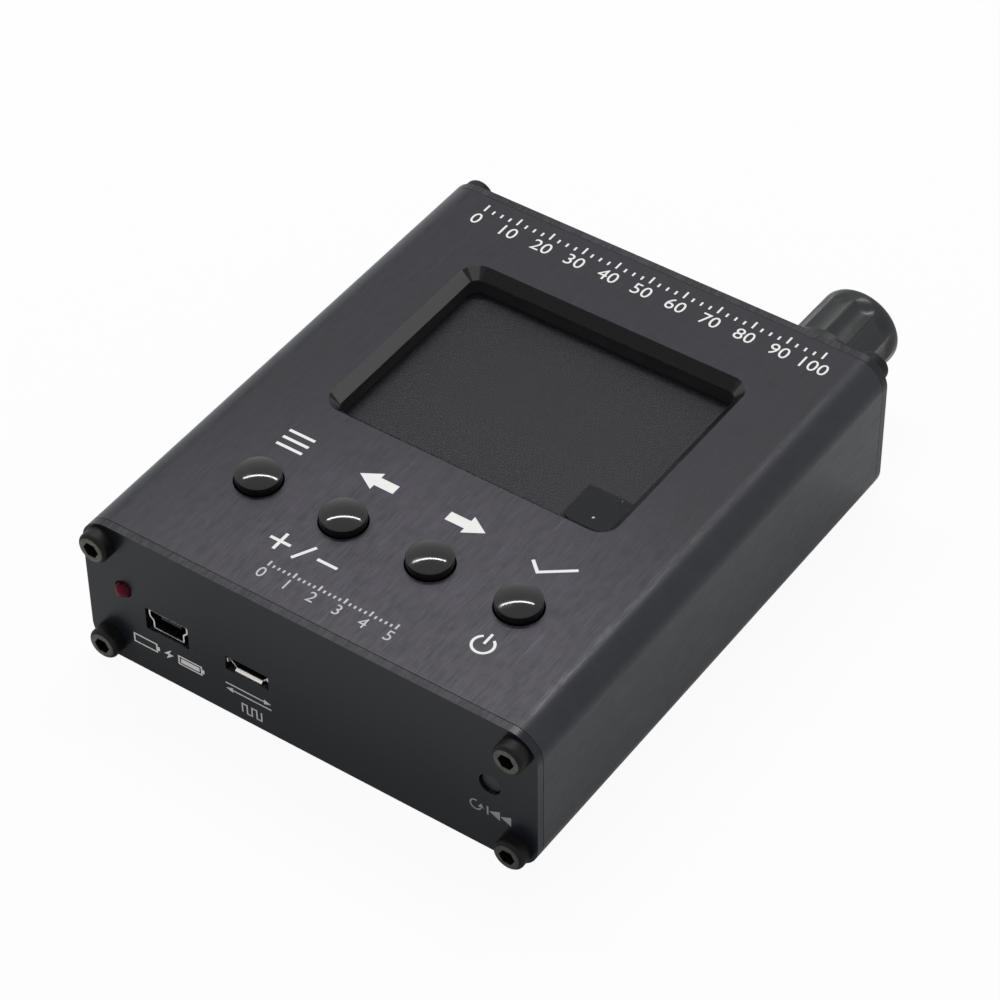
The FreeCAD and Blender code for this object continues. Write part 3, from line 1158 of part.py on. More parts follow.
def build_dust_cap():
    """Moulded screw cap with grip flutes, and the gasket at the bottom of its bore."""
    half_pitch = Rotation(Vector(0, 1, 0), 180 / size("flute_count"))
    body = new_body("dust_cap_body", (RF_X, CAP_MOUTH, RF_Z), half_pitch)
    profile = new_sketch(body, "dust_cap_profile", "YZ_Plane")
    bore = "(rf_thread / 2 + cap_thread_play)"
    add_outline(profile, "cap", [("0", bore), ("0", "cap_diameter / 2"),
                                 ("cap_length", "cap_end_diameter / 2"), ("cap_length", "0"),
                                 ("cap_length - cap_end_wall", "0"), ("cap_length - cap_end_wall", bore)])
    blank = revolve(body, "dust_cap_blank", profile, "Y_Axis")
    doc.recompute()
    end = size("cap_length")
    rim = edges_where(blank.Shape, lambda middle, edge: abs(middle.y - end) < NEAR
                      and isinstance(edge.Curve, Part.Circle))
    rounding = body.newObject("PartDesign::Fillet", "dust_cap_round")
    rounding.Base = (blank, rim)
    rounding.setExpression("Radius", formula("min(cap_end_round; cap_end_wall / 2)"))
    body.Tip = rounding
    doc.recompute()

    # A flute is the hollow of a rod laid along the cap, square at both ends
    flute = new_sketch(body, "dust_cap_flute_outline", "XZ_Plane", offset="-flute_start")
    axis_height = "((cap_diameter + cap_end_diameter) / 4 + flute_radius - flute_depth)"
    add_circle(flute, "hollow", ("0", axis_height), "2 * flute_radius")
    groove = pocket(body, "dust_cap_flute", flute, "cap_length - flute_start - flute_end")
    doc.recompute()
    ring = body.newObject("PartDesign::PolarPattern", "dust_cap_flutes")
    ring.Originals = [groove]
    ring.Axis = (origin_plane(body, "Y_Axis"), [""])
    ring.Angle = 360
    ring.setExpression("Occurrences", formula("flute_count"))
    body.Tip = ring
    doc.recompute()
    sub_part("dust_cap", body)

    gasket_low = "%s + cap_length - cap_end_wall - cap_gasket_thick" % CAP_MOUTH
    sub_part("cap_gasket", cylinder("cap_gasket", "rf_thread + 2 * cap_thread_play - 2 * cap_gasket_play",
                                    "cap_gasket_thick", (RF_X, gasket_low, RF_Z), REARWARD))


# --------------------------------------------------------------------------------------
# Battery
# --------------------------------------------------------------------------------------
def build_battery():
    """Flat cell on its tape under the main board, with its plug, socket and two wires."""
    tape_inset = "2 * tape_margin"
    sub_part("battery_tape", centred_box("battery_tape", "battery_length - " + tape_inset,
                                         "battery_width - " + tape_inset, "tape_thick",
                                         ("0", "battery_centre_y", "case_wall")))
    cell = new_body("battery_cell")
    outline = new_sketch(cell, "battery_cell_outline", "XZ_Plane",
                         offset="battery_width / 2 - battery_centre_y")
    add_rounded_rectangle(outline, "cell", "battery_length", "battery_thick", "battery_corner",
                          ("0", "case_wall + tape_thick + battery_thick / 2"))
    pad(cell, "battery_cell_block", outline, "battery_width", backwards=True)
    sub_part("battery_cell", cell)

    wall = "plug_socket_wall"
    socket_mouth = "(%s - plug_socket_rear_gap)" % BOARD_REAR
    outer_width = "plug_width + 2 * plug_play + 2 * " + wall
    outer_height = "plug_height + plug_play + 2 * " + wall
    corner = ("%s - (%s) / 2" % (PLUG_X, outer_width), "%s - plug_socket_length" % socket_mouth,
              "main_board_top")
    shell = box("battery_socket_block", outer_width, "plug_socket_length", outer_height, corner)
    plug_front = "(%s + plug_proud - plug_length)" % socket_mouth
    plug_low = "(main_board_top + %s)" % wall
    room = box("battery_socket_room", "plug_width + 2 * plug_play", "plug_length", "plug_height + plug_play",
               ("%s - plug_width / 2 - plug_play" % PLUG_X, plug_front, plug_low))
    sub_part("battery_socket", cut("battery_socket", shell, [room]))
    sub_part("battery_plug", box("battery_plug", "plug_width", "plug_length", "plug_height",
                                 ("%s - plug_width / 2" % PLUG_X, plug_front, plug_low)))

    cell_rear = size("battery_centre_y") + size("battery_width") / 2
    cell_level = size("case_wall") + size("tape_thick") + size("battery_thick") / 2
    turn_y = size("case_length") / 2 - size("wire_rear_gap")
    plug_rear = value(socket_mouth) + size("plug_proud")
    plug_level = size("main_board_top") + size("plug_socket_wall") + size("plug_height") / 2
    for colour, side in (("red", -0.5), ("black", 0.5)):
        x = value(PLUG_X) + side * size("wire_spacing")
        points = [Vector(x, cell_rear, cell_level), Vector(x, turn_y, cell_level),
                  Vector(x, turn_y, plug_level), Vector(x, plug_rear, plug_level)]
        radii = [size("wire_bend")] * 2
        print("battery wire", colour, "bend radii", radii)
        sub_part("battery_wire_" + colour,
                 from_code("battery_wire_" + colour, bent_wire(points, radii, size("wire_diameter") / 2)))


# --------------------------------------------------------------------------------------
# Chips, crystal, choke and shield on the main board
# --------------------------------------------------------------------------------------
def build_board_parts():
    """The parts that stand on the main board."""
    top = "main_board_top"
    shield_x = "(%s - shield_offset)" % RF_X
    pin_y = "%s - rf_panel_length - rf_tail_length - rf_pin_run" % PLATE_OUTSIDE
    shield_y = "(%s - shield_contact_gap - shield_width / 2)" % pin_y
    can = centred_box("shield_block", "shield_length", "shield_width", "shield_height",
                      (shield_x, shield_y, top))
    room = centred_box("shield_room", "shield_length - 2 * shield_sheet", "shield_width - 2 * shield_sheet",
                       "2 * (shield_height - shield_sheet)",
                       (shield_x, shield_y, "%s - (shield_height - shield_sheet)" % top))
    sub_part("rf_shield", cut("rf_shield", can, [room]))
    sub_part("processor", centred_box("processor", "processor_side", "processor_side", "processor_height",
                                      ("processor_x", "processor_y", top)))
    synthesiser = centred_box("synthesiser_chip", "synthesiser_side", "synthesiser_side", "chip_height",
                              ("%s - synthesiser_offset" % shield_x, shield_y, top))
    mixer_x = "%s + mixer_offset" % shield_x
    mixer = centred_box("mixer_chip", "mixer_side", "mixer_side", "chip_height",
                        (mixer_x, "%s + mixer_spread / 2" % shield_y, top))
    detector = centred_box("detector_chip", "mixer_side", "mixer_side", "chip_height",
                           (mixer_x, "%s - mixer_spread / 2" % shield_y, top))
    sub_part("rf_chips", group("rf_chips", [synthesiser, mixer, detector]))
    charger_at = (PORT_X["mini"], "%s + mini_length + charger_gap" % PORT_MOUTH["mini"], top)
    sub_part("charger_chip", centred_box("charger_chip", "charger_length", "charger_width", "charger_height",
                                         charger_at))
    crystal_y = "processor_y + crystal_gap"
    half = "crystal_height / 2"
    middle = centred_box("crystal_middle", "crystal_length - crystal_height", "crystal_height",
                         "crystal_height", ("processor_x", crystal_y, top))
    left = cylinder("crystal_left", "crystal_height", "crystal_height",
                    ("processor_x - crystal_length / 2 + " + half, crystal_y, top))
    right = cylinder("crystal_right", "crystal_height", "crystal_height",
                     ("processor_x + crystal_length / 2 - " + half, crystal_y, top))
    sub_part("crystal_can", fuse("crystal_can", [left, middle, right]))
    sub_part("power_choke", cylinder("power_choke", "choke_diameter", "choke_height",
                                     (PORT_X["mini"], "choke_y", top)))


def check_and_export():
    """Stop if anything failed to compute, then write each sub-part to its own file."""
    doc.recompute()
    failed = [item.Name for item in doc.Objects if "Invalid" in item.State or "Error" in item.State]
    if failed:
        raise RuntimeError("objects that did not compute: " + ", ".join(failed))
    for item in SUB_PARTS:
        if item.Shape.isNull() or not item.Shape.isValid() or not item.Shape.Solids:
            raise RuntimeError("bad shape: " + item.Label)
    os.makedirs("parts", exist_ok=True)
    for item in SUB_PARTS:
        item.Shape.exportStep("parts/%s.step" % item.Label)
    print("sub-parts:", len(SUB_PARTS), "solids:", sum(len(item.Shape.Solids) for item in SUB_PARTS))


build_case()
build_panels()
build_panel_screws()
build_boards()
build_spacers()
build_display()
build_keys()
build_reset()
build_lamp()
build_port("mini", True, [])
build_port("micro", False, flared_lips("micro"))
build_connector()
build_dust_cap()
build_battery()
build_board_parts()
check_and_export()
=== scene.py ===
"""Looks of a handheld antenna analyzer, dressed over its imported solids.

Metres, +Z up, +X to the right, +Y from the front plate to the rear plate; the origin is the
centre of the case's underside.  Every sub-assembly is a class: its fields are its sizes, its
table says what its solids wear, and its build method makes its pieces and dresses its solids.
"""

from __future__ import annotations

import logging
import math
from collections.abc import Callable, Iterable, Mapping, Sequence
from dataclasses import dataclass
from enum import Enum
from functools import cached_property
from typing import ClassVar, Union

import bmesh
import bpy
from mathutils import Matrix, Vector

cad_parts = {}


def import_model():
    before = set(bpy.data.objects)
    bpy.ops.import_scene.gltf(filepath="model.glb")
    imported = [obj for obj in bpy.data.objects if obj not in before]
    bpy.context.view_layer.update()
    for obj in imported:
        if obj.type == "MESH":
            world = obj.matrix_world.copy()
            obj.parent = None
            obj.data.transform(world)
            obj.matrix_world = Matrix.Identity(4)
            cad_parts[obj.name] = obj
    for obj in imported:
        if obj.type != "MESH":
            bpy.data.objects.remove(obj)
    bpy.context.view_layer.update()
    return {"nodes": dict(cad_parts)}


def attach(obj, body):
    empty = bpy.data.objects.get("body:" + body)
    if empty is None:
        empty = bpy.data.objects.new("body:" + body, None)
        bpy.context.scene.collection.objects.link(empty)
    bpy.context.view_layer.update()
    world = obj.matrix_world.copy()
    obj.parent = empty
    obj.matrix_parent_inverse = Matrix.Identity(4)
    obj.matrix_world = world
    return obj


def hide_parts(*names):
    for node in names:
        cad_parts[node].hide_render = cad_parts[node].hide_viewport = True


LOG = logging.getLogger("analyzer")
MM = 0.001
TOP_LEVEL = 28.0 * MM
FRONT_FACE = -49.0 * MM

Colour = tuple[float, float, float]
Point = tuple[float, float]
Outline = Sequence[Point]
Feed = Union[float, Sequence[float], "Wire"]
Feeds = Mapping[Union[str, int], Feed]


def opaque(colour: Colour) -> tuple[float, float, float, float]:
    """A colour with full alpha, as a shader socket takes it."""
    return (*colour, 1.0)


# --------------------------------------------------------------------------------------
# Node trees
# --------------------------------------------------------------------------------------
def operator(operation: str, swapped: bool = False) -> Callable[[Wire, Feed], Wire]:
    """An operator between a value in a node tree and another, which adds a node.

    Args:
        operation: The step that the node takes.
        swapped: Whether the value comes second.

    Returns:
        The operator.
    """

    def apply(value: Wire, other: Feed) -> Wire:
        """The new node's result."""
        return value.graph.math(operation, *((other, value) if swapped else (value, other)))

    return apply


class Wire:
    """A value in a node tree; arithmetic with it adds the nodes that work it out."""

    __add__ = operator("ADD")
    __mul__ = operator("MULTIPLY")
    __sub__ = operator("SUBTRACT")
    __rsub__ = operator("SUBTRACT", swapped=True)
    __truediv__ = operator("DIVIDE")
    __rtruediv__ = operator("DIVIDE", swapped=True)
    __mod__ = operator("MODULO")
    __gt__ = operator("GREATER_THAN")
    __lt__ = operator("LESS_THAN")

    def __init__(self, graph: Graph, socket: bpy.types.NodeSocket) -> None:
        """Hold an output of one of the graph's nodes."""
        self.graph = graph
        self.socket = socket

    def __abs__(self) -> Wire:
        """The value without its sign."""
        return self.graph.math("ABSOLUTE", self)


class Graph:
    """A node tree with short calls that add nodes and join them."""

    def __init__(self, tree: bpy.types.NodeTree) -> None:
        """Work on one tree."""
        self.tree = tree

    def add(self, kind: str, feeds: Feeds | None = None, **settings: object) -> bpy.types.Node:
        """Add a node.

        Args:
            kind: The node's type.
            feeds: A value or a wire for each input, by name or number.
            **settings: The node's own properties, set before its inputs.

        Returns:
            The new node.
        """
        node = self.tree.nodes.new(kind)
        for name, setting in settings.items():
            setattr(node, name, setting)
        for key, feed in (feeds or {}).items():
            if isinstance(feed, Wire):
                self.tree.links.new(feed.socket, node.inputs[key])
            else:
                node.inputs[key].default_value = feed
        return node

    def take(self, output: str | int, kind: str, feeds: Feeds | None = None, **settings: object) -> Wire:
        """Add a node and take one of its outputs."""
        return Wire(self, self.add(kind, feeds, **settings).outputs[output])

    def math(self, operation: str, *feeds: Feed, clamp: bool = False) -> Wire:
        """The result of one arithmetic step."""
        return self.take(0, "ShaderNodeMath", dict(enumerate(feeds)), operation=operation, use_clamp=clamp)

    def vector(self, operation: str, *feeds: Feed, output: str = "Vector") -> Wire:
        """The result of one vector step."""
        return self.take(output, "ShaderNodeVectorMath", dict(enumerate(feeds)), operation=operation)

    def combine(self, x: Feed = 0.0, y: Feed = 0.0, z: Feed = 0.0) -> Wire:
        """A vector from three values."""
        return self.take(0, "ShaderNodeCombineXYZ", {0: x, 1: y, 2: z})

    def split(self, vector: Feed) -> list[Wire]:
        """The three values of a vector."""
        return [Wire(self, socket) for socket in self.add("ShaderNodeSeparateXYZ", {0: vector}).outputs]

    def remap(self, feed: Feed, low: Feed, high: Feed, to_low: Feed = 0.0, to_high: Feed = 1.0) -> Wire:
        """A value carried smoothly and clamped from one range to another."""
        return self.take(0, "ShaderNodeMapRange", {0: feed, 1: low, 2: high, 3: to_low, 4: to_high},
                         interpolation_type="SMOOTHSTEP")

    def mix(self, share: Feed, first: Feed, second: Feed, blend: str = "MIX") -> Wire:
        """Two colours mixed by a share.

        Args:
            share: How much of the second, from 0 to 1.
            first: One colour.
            second: The other.
            blend: How they are mixed.

        Returns:
            The mixed colour.
        """
        ends = [feed if isinstance(feed, Wire) else opaque(feed) for feed in (first, second)]
        return self.take(2, "ShaderNodeMix", {0: share, 6: ends[0], 7: ends[1]}, data_type="RGBA",
                         blend_type=blend)

    def shaded(self, colour: Feed, shade: Wire) -> Wire:
        """A colour made lighter or darker."""
        return self.mix(1.0, colour, self.combine(shade, shade, shade), "MULTIPLY")

    def noise(self, vector: Feed, scale: Feed, detail: float = 3.0, roughness: float = 0.55) -> Wire:
        """Cloud noise, about 0.5 in the middle."""
        return self.take(0, "ShaderNodeTexNoise", {"Vector": vector, "Scale": scale, "Detail": detail,
                                                   "Roughness": roughness})

    def cells(self, vector: Feed, scale: Feed, feature: str = "F1") -> Wire:
        """The distance in cell noise."""
        return self.take("Distance", "ShaderNodeTexVoronoi", {"Vector": vector, "Scale": scale},
                         feature=feature)

    def bump(self, height: Feed, depth: float) -> Wire:
        """A normal raised by a height, of depth metres from 0 to 1."""
        return self.take(0, "ShaderNodeBump", {"Height": height, "Distance": depth})

    def flat(self) -> Wire:
        """The true direction of a face, not smoothed towards the faces beside it."""
        return self.take("True Normal", "ShaderNodeNewGeometry")

    @cached_property
    def where(self) -> Wire:
        """The place on the piece, in the frame's metres."""
        return self.take("Object", "ShaderNodeTexCoord")

    @cached_property
    def facing(self) -> list[Wire]:
        """How far the surface faces along each of the piece's own axes."""
        return self.split(self.take("Normal", "ShaderNodeTexCoord"))

    def inside(self, low: Point, high: Point) -> Wire:
        """Whether a point lies in an upright rectangle."""
        x, y, _ = self.split(self.where)
        return (x > low[0]) * (x < high[0]) * (y > low[1]) * (y < high[1])


class Effect(Graph):
    """A shader node group that several finishes share: a vector and named values in, values out."""

    def __init__(self, name: str, usual: Mapping[str, float]) -> None:
        """Start the group.

        Args:
            name: The group's name.
            usual: The usual value of each named input.
        """
        super().__init__(bpy.data.node_groups.new(name, "ShaderNodeTree"))
        sockets = self.tree.interface
        sockets.new_socket(name="Vector", in_out="INPUT", socket_type="NodeSocketVector")
        for label, value in usual.items():
            socket = sockets.new_socket(name=label, in_out="INPUT", socket_type="NodeSocketFloat")
            socket.default_value = value
        outputs = self.add("NodeGroupInput").outputs
        self.ins = {label: Wire(self, outputs[label]) for label in ("Vector", *usual)}

    def close(self, values: Mapping[str, Wire]) -> bpy.types.NodeTree:
        """Lead named values out of the group and return its tree.

        Args:
            values: What leads out, by name.

        Returns:
            The group's tree.
        """
        for label in values:
            self.tree.interface.new_socket(name=label, in_out="OUTPUT", socket_type="NodeSocketFloat")
        self.add("NodeGroupOutput", values)
        return self.tree

    def scale(self, size: str) -> Wire:
        """The noise scale for a size that is an input."""
        return 1.0 / self.ins[size]

    def drawn(self) -> Wire:
        """The vector squeezed so that noise over it is drawn out along Y.

        Returns:
            The squeezed vector.
        """
        across = self.scale("Line Width")
        squeeze = self.combine(across, self.scale("Line Length"), across)
        return self.vector("MULTIPLY", self.ins["Vector"], squeeze)


def brushing() -> bpy.types.NodeTree:
    """Fine lines drawn out along Y, with broader bands in them.

    Returns:
        The group's tree.
    """
    on = Effect("brushing", {"Line Width": 0.2 * MM, "Line Length": 4.0 * MM, "Seed": 0.0})
    moved = on.vector("ADD", on.drawn(), on.combine(on.ins["Seed"], on.ins["Seed"], 0.0))
    fine = on.noise(moved, 1.0, 2.0, 0.6)
    broad = on.noise(on.vector("MULTIPLY", moved, (0.22, 0.5, 0.22)), 1.0, 2.0, 0.5)
    return on.close({"Shade": on.remap(fine * 0.6 + broad * 0.4, 0.36, 0.66), "Height": fine})


def clouding() -> bpy.types.NodeTree:
    """Soft patches, as in a dye bath or from handling.

    Returns:
        The group's tree.
    """
    on = Effect("clouding", {"Patch Size": 10.0 * MM})
    patches = on.noise(on.ins["Vector"], on.scale("Patch Size"), 4.0)
    return on.close({"Patches": on.remap(patches, 0.3, 0.7)})


def edge_wear() -> bpy.types.NodeTree:
    """Outer edges where a coating is rubbed thin, broken up by noise.

    Returns:
        The group's tree.
    """
    on = Effect("edge_wear", {"Radius": 0.2 * MM, "Breakup": 2.0 * MM})
    rounded = on.take(0, "ShaderNodeBevel", {"Radius": on.ins["Radius"]}, samples=6)
    bend = 1.0 - on.vector("DOT_PRODUCT", rounded, on.take("Normal", "ShaderNodeNewGeometry"), output="Value")
    opened = on.take("AO", "ShaderNodeAmbientOcclusion", {"Distance": on.ins["Radius"] * 4.0}, samples=4)
    edge = on.remap(bend, 0.02, 0.16) * on.remap(opened, 0.7, 0.98)
    rubbed = on.remap(on.noise(on.ins["Vector"], on.scale("Breakup"), 3.0), 0.38, 0.62)
    return on.close({"Wear": edge * rubbed})


def dust() -> bpy.types.NodeTree:
    """Fine specks on what faces up.

    Returns:
        The group's tree.
    """
    on = Effect("dust", {"Speck Size": 0.2 * MM, "Cover": 0.3})
    specks = on.remap(on.noise(on.ins["Vector"], on.scale("Speck Size"), 1.0), 0.70, 0.78)
    patches = on.remap(on.noise(on.ins["Vector"], 180.0, 2.0), 0.4, 0.7)
    upward = on.remap(on.facing[2], 0.2, 0.9)
    return on.close({"Specks": specks * patches * upward * on.ins["Cover"]})


def grain() -> bpy.types.NodeTree:
    """The even fine texture of a blasted or moulded surface.

    Returns:
        The group's tree.
    """
    on = Effect("grain", {"Grain Size": 0.2 * MM})
    scale = on.scale("Grain Size")
    pits = on.cells(on.ins["Vector"], scale, "SMOOTH_F1")
    return on.close({"Height": pits * on.noise(on.ins["Vector"], scale * 1.7, 2.0)})


def scores() -> bpy.types.NodeTree:
    """Sparse long scores along Y, lighter ones and darker ones.

    Returns:
        The group's tree.
    """
    on = Effect("scores", {"Line Width": 0.2 * MM, "Line Length": 12.0 * MM})
    lines = on.noise(on.drawn(), 0.6, 1.5, 0.5)
    return on.close({"Light": on.remap(lines, 0.66, 0.76), "Dark": on.remap(lines, 0.24, 0.34, 1.0, 0.0)})


class Surface(Graph):
    """A material's node tree, in which the shared effects are placed."""

    def __init__(self, tree: bpy.types.NodeTree, effects: Mapping[str, bpy.types.NodeTree]) -> None:
        """Work on one tree with the effects, by name."""
        super().__init__(tree)
        self.effects = effects

    def effect(self, name: str, feeds: Feeds) -> dict[str, Wire]:
        """Place an effect and give its outputs, by name."""
        node = self.add("ShaderNodeGroup", {"Vector": self.where, **feeds}, node_tree=self.effects[name])
        return {socket.name: Wire(self, socket) for socket in node.outputs}

    def patches(self, size: float) -> Wire:
        """Soft patches of a size."""
        return self.effect("clouding", {"Patch Size": size})["Patches"]

    def grain(self, size: float) -> Wire:
        """The height of a grain of a size."""
        return self.effect("grain", {"Grain Size": size})["Height"]

    def wear(self, radius: float, breakup: float = 2.0 * MM) -> Wire:
        """How far an outer edge is rubbed."""
        return self.effect("edge_wear", {"Radius": radius, "Breakup": breakup})["Wear"]

    def dust(self, size: float, cover: float) -> Wire:
        """Where specks of dust of a size lie."""
        return self.effect("dust", {"Speck Size": size, "Cover": cover})["Specks"]

    def lines(self, width: float, length: float, seed: float) -> dict[str, Wire]:
        """The shade and the height of fine lines along Y."""
        return self.effect("brushing", {"Line Width": width, "Line Length": length, "Seed": seed})


# --------------------------------------------------------------------------------------
# Finishes
# --------------------------------------------------------------------------------------
def cleared(owner: bpy.types.Material | bpy.types.World) -> bpy.types.NodeTree:
    """The empty node tree of a material or a world.

    Args:
        owner: What holds the tree.

    Returns:
        Its tree, with no node in it.
    """
    owner.use_nodes = True
    owner.node_tree.nodes.clear()
    return owner.node_tree


@dataclass(frozen=True, kw_only=True)
class Finish:
    """A procedural finish: what is even over the surface is a field of the shader itself."""

    name: str
    colour: Colour
    metallic: float = 0.0
    roughness: float = 0.5
    ior: float = 1.5
    specular: float = 0.5
    coat: float = 0.0
    coat_roughness: float = 0.05

    def build(self, effects: Mapping[str, bpy.types.NodeTree]) -> bpy.types.Material:
        """The finish as a material.

        Args:
            effects: The shared node groups, by name.

        Returns:
            The material.
        """
        material = bpy.data.materials.new(self.name)
        on = Surface(cleared(material), effects)
        shader = on.take(0, "ShaderNodeBsdfPrincipled", {
            "Base Color": opaque(self.colour), "Metallic": self.metallic, "Roughness": self.roughness,
            "IOR": self.ior, "Specular IOR Level": self.specular, "Coat Weight": self.coat,
            "Coat Roughness": self.coat_roughness, **self.pattern(on)})
        on.add("ShaderNodeOutputMaterial", {"Surface": shader})
        return material

    def pattern(self, on: Surface) -> Feeds:
        """What changes over the surface, for each of the shader's inputs that it feeds."""
        raise NotImplementedError

    def gloss(self, on: Surface, share: Wire, at_none: float, at_full: float) -> Wire:
        """The roughness, changed by one amount where a share is 0 and by another where it is 1."""
        return on.remap(share, 0.0, 1.0, self.roughness + at_none, self.roughness + at_full)


@dataclass(frozen=True, kw_only=True)
class Anodising(Finish):
    """Dyed anodising with streaks, rubbed to bare metal at its edges."""

    # DrawnAnodising takes light as the colour of its painted pool of light; BlastedAnodising as the paler
    # side of its patches.
    light: Colour
    bare: Colour = (0.34, 0.33, 0.32)
    wear_radius: float = 0.12 * MM
    seed: float = 3.7


@dataclass(frozen=True, kw_only=True)
class DrawnAnodising(Anodising):
    """Anodising of an extrusion: die streaks and a painted pool of light on its top face, satin sides, and
    cut bevels round its window with painted light and shade on them.
    """

    side: Colour
    side_light: Colour
    # Painted light and shade on the window's bevels: one colour for each way a straight bevel faces.
    bevels: tuple[Colour, Colour, Colour, Colour]
    window_low: Point
    window_high: Point
    # Painted shade and painted light for the bevels' rounded corners, by the way they face.
    corner_painted_shade: Colour = (0.020, 0.020, 0.021)
    corner_painted_light: Colour = (0.052, 0.051, 0.053)
    dust: Colour = (0.42, 0.40, 0.38)
    line_width: float = 0.20 * MM
    line_length: float = 3.0 * MM
    score_width: float = 0.16 * MM
    blotch: float = 1.9 * MM
    patch: float = 13.0 * MM
    side_patch: float = 5.0 * MM
    groove: float = 0.004 * MM
    # Painted light: a paler pool on the top face, centred here, full out to the core and fading to a little
    # by the reach.
    painted_light_centre: Point = (10.0 * MM, -45.0 * MM)
    painted_light_core: float = 20.0 * MM
    painted_light_reach: float = 60.0 * MM

    def _from_painted_light(self, on: Surface) -> Wire:
        """How far a point lies from the middle of the painted pool of light at the front of the top face."""
        across, along = (axis - middle for axis, middle in zip(on.split(on.where), self.painted_light_centre))
        return on.math("SQRT", across * across + along * along)

    def _tone(self, on: Surface) -> Wire:
        """How light the top face is, from its streaks, blotches, patches and scores.

        Args:
            on: The material's tree.

        Returns:
            The tone.
        """
        scored = on.effect("scores", {"Line Width": self.score_width})
        tone = on.lines(self.line_width, self.line_length, self.seed)["Shade"] * 0.62
        for feed, share in ((on.patches(self.blotch), 0.24), (on.patches(self.patch), 0.14),
                            (scored["Light"], 0.8), (scored["Dark"], -0.6)):
            tone += feed * share
        return tone

    def _painted_bevels(self, on: Surface) -> tuple[Wire, Wire]:
        """Where the window's bevels are, and the painted light and shade of each by the way it faces.

        Args:
            on: The material's tree.

        Returns:
            How far a point is on a bevel, and the bevel's painted light and shade there.
        """
        x, y, z = on.facing
        share = on.remap(z, 0.60, 0.66) * on.remap(z, 0.76, 0.82, 1.0, 0.0)
        share *= on.inside(self.window_low, self.window_high)
        # Painted light and shade: each bevel takes a colour by the way it faces, its corners too.
        across = on.mix(x > 0.0, self.bevels[1], self.bevels[0])
        along = on.mix(y > 0.0, self.bevels[3], self.bevels[2])
        painted_straight = on.mix(abs(x) > 0.4, along, across)
        between = on.math("MINIMUM", abs(x), abs(y))
        painted_corner = on.mix(on.remap(between, 0.27, 0.36), self.corner_painted_shade, self.corner_painted_light)
        return share, on.mix(on.remap(between, 0.05, 0.12), painted_straight, painted_corner)

    def pattern(self, on: Surface) -> Feeds:
        """Streak the top face and paint a pool of light at its front, cloud the sides, paint light and shade
        on the bevels and rub the edges.

        Args:
            on: The material's tree.

        Returns:
            What feeds the shader, by input.
        """
        top = on.remap(on.facing[2], 0.95, 0.99)
        tone = self._tone(on)
        # Painted light: the top face's colour pales towards a pool at its front.
        painted_light_share = on.remap(self._from_painted_light(on), self.painted_light_core, self.painted_light_reach, 1.0, 0.12)
        streaked = on.shaded(on.mix(painted_light_share, self.colour, self.light), tone * 1.3 + 0.35)
        dyed = on.mix(top, on.mix(on.patches(self.side_patch), self.side, self.side_light), streaked)
        # cut holds the bevels' painted light and shade.
        bevel, cut = self._painted_bevels(on)
        rubbed = on.mix(on.wear(self.wear_radius) * 0.16, on.mix(bevel, dyed, cut), self.bare)
        return {"Base Color": on.mix(on.dust(0.14 * MM, 0.22), rubbed, self.dust), "Metallic": bevel,
                "Roughness": self.gloss(on, tone, 0.05, -0.05), "Normal": on.bump(tone * top, self.groove)}


@dataclass(frozen=True, kw_only=True)
class BlastedAnodising(Anodising):
    """Anodising over a fine blast, as on the end plates, with streaks and painted light on their up-facing
    cut edges.
    """

    # edge: the streaked colour of up-facing edges, paler than the face as painted light.
    edge: Colour
    patch: float = 16.0 * MM
    grain_size: float = 0.11 * MM
    depth: float = 0.002 * MM
    line_width: float = 0.3 * MM
    line_length: float = 2.0 * MM

    def pattern(self, on: Surface) -> Feeds:
        """Cloud and grain the face, streak its up-facing edges and paint light on them, and rub its edges.

        Args:
            on: The material's tree.

        Returns:
            What feeds the shader, by input.
        """
        patches = on.patches(self.patch)
        streaks = on.lines(self.line_width, self.line_length, self.seed)["Shade"]
        streaked = on.shaded(self.edge, streaks * 1.2 + 0.4)
        # Up-facing edges take the paler edge colour: painted light, with real streaks in it.
        dyed = on.mix(on.remap(on.facing[2], 0.9, 0.99), on.mix(patches, self.colour, self.light), streaked)
        return {"Base Color": on.mix(on.wear(self.wear_radius) * 0.12, dyed, self.bare),
                "Roughness": self.gloss(on, patches, -0.03, 0.03),
                "Normal": on.bump(on.grain(self.grain_size), self.depth)}


@dataclass(frozen=True, kw_only=True)
class ScrewOxide(Finish):
    """Black oxide on a socket screw, with painted light on the flat end of its head and painted shade on its
    sides and in its socket.
    """

    # ring is the painted light on the head's flat end; colour is painted shade on its sides and socket.
    ring: Colour
    ring_level: float
    ring_roughness: float = 0.3
    patch: float = 1.1 * MM

    def pattern(self, on: Surface) -> Feeds:
        """Paint light on the head's flat end and paint shade on its sides and socket.

        Args:
            on: The material's tree.

        Returns:
            What feeds the shader, by input.
        """
        # Painted light on the head's flat end, broken up by patches; elsewhere the painted shade of colour.
        ring = on.remap(abs(on.facing[1]), 0.90, 0.98) * (abs(on.split(on.where)[1]) > self.ring_level)
        rubbed = ring * on.remap(on.patches(self.patch), 0.0, 1.0, 0.75, 1.0)
        return {"Base Color": on.mix(rubbed, self.colour, self.ring), "Metallic": ring,
                "Roughness": on.remap(rubbed, 0.0, 1.0, self.roughness, self.ring_roughness)}


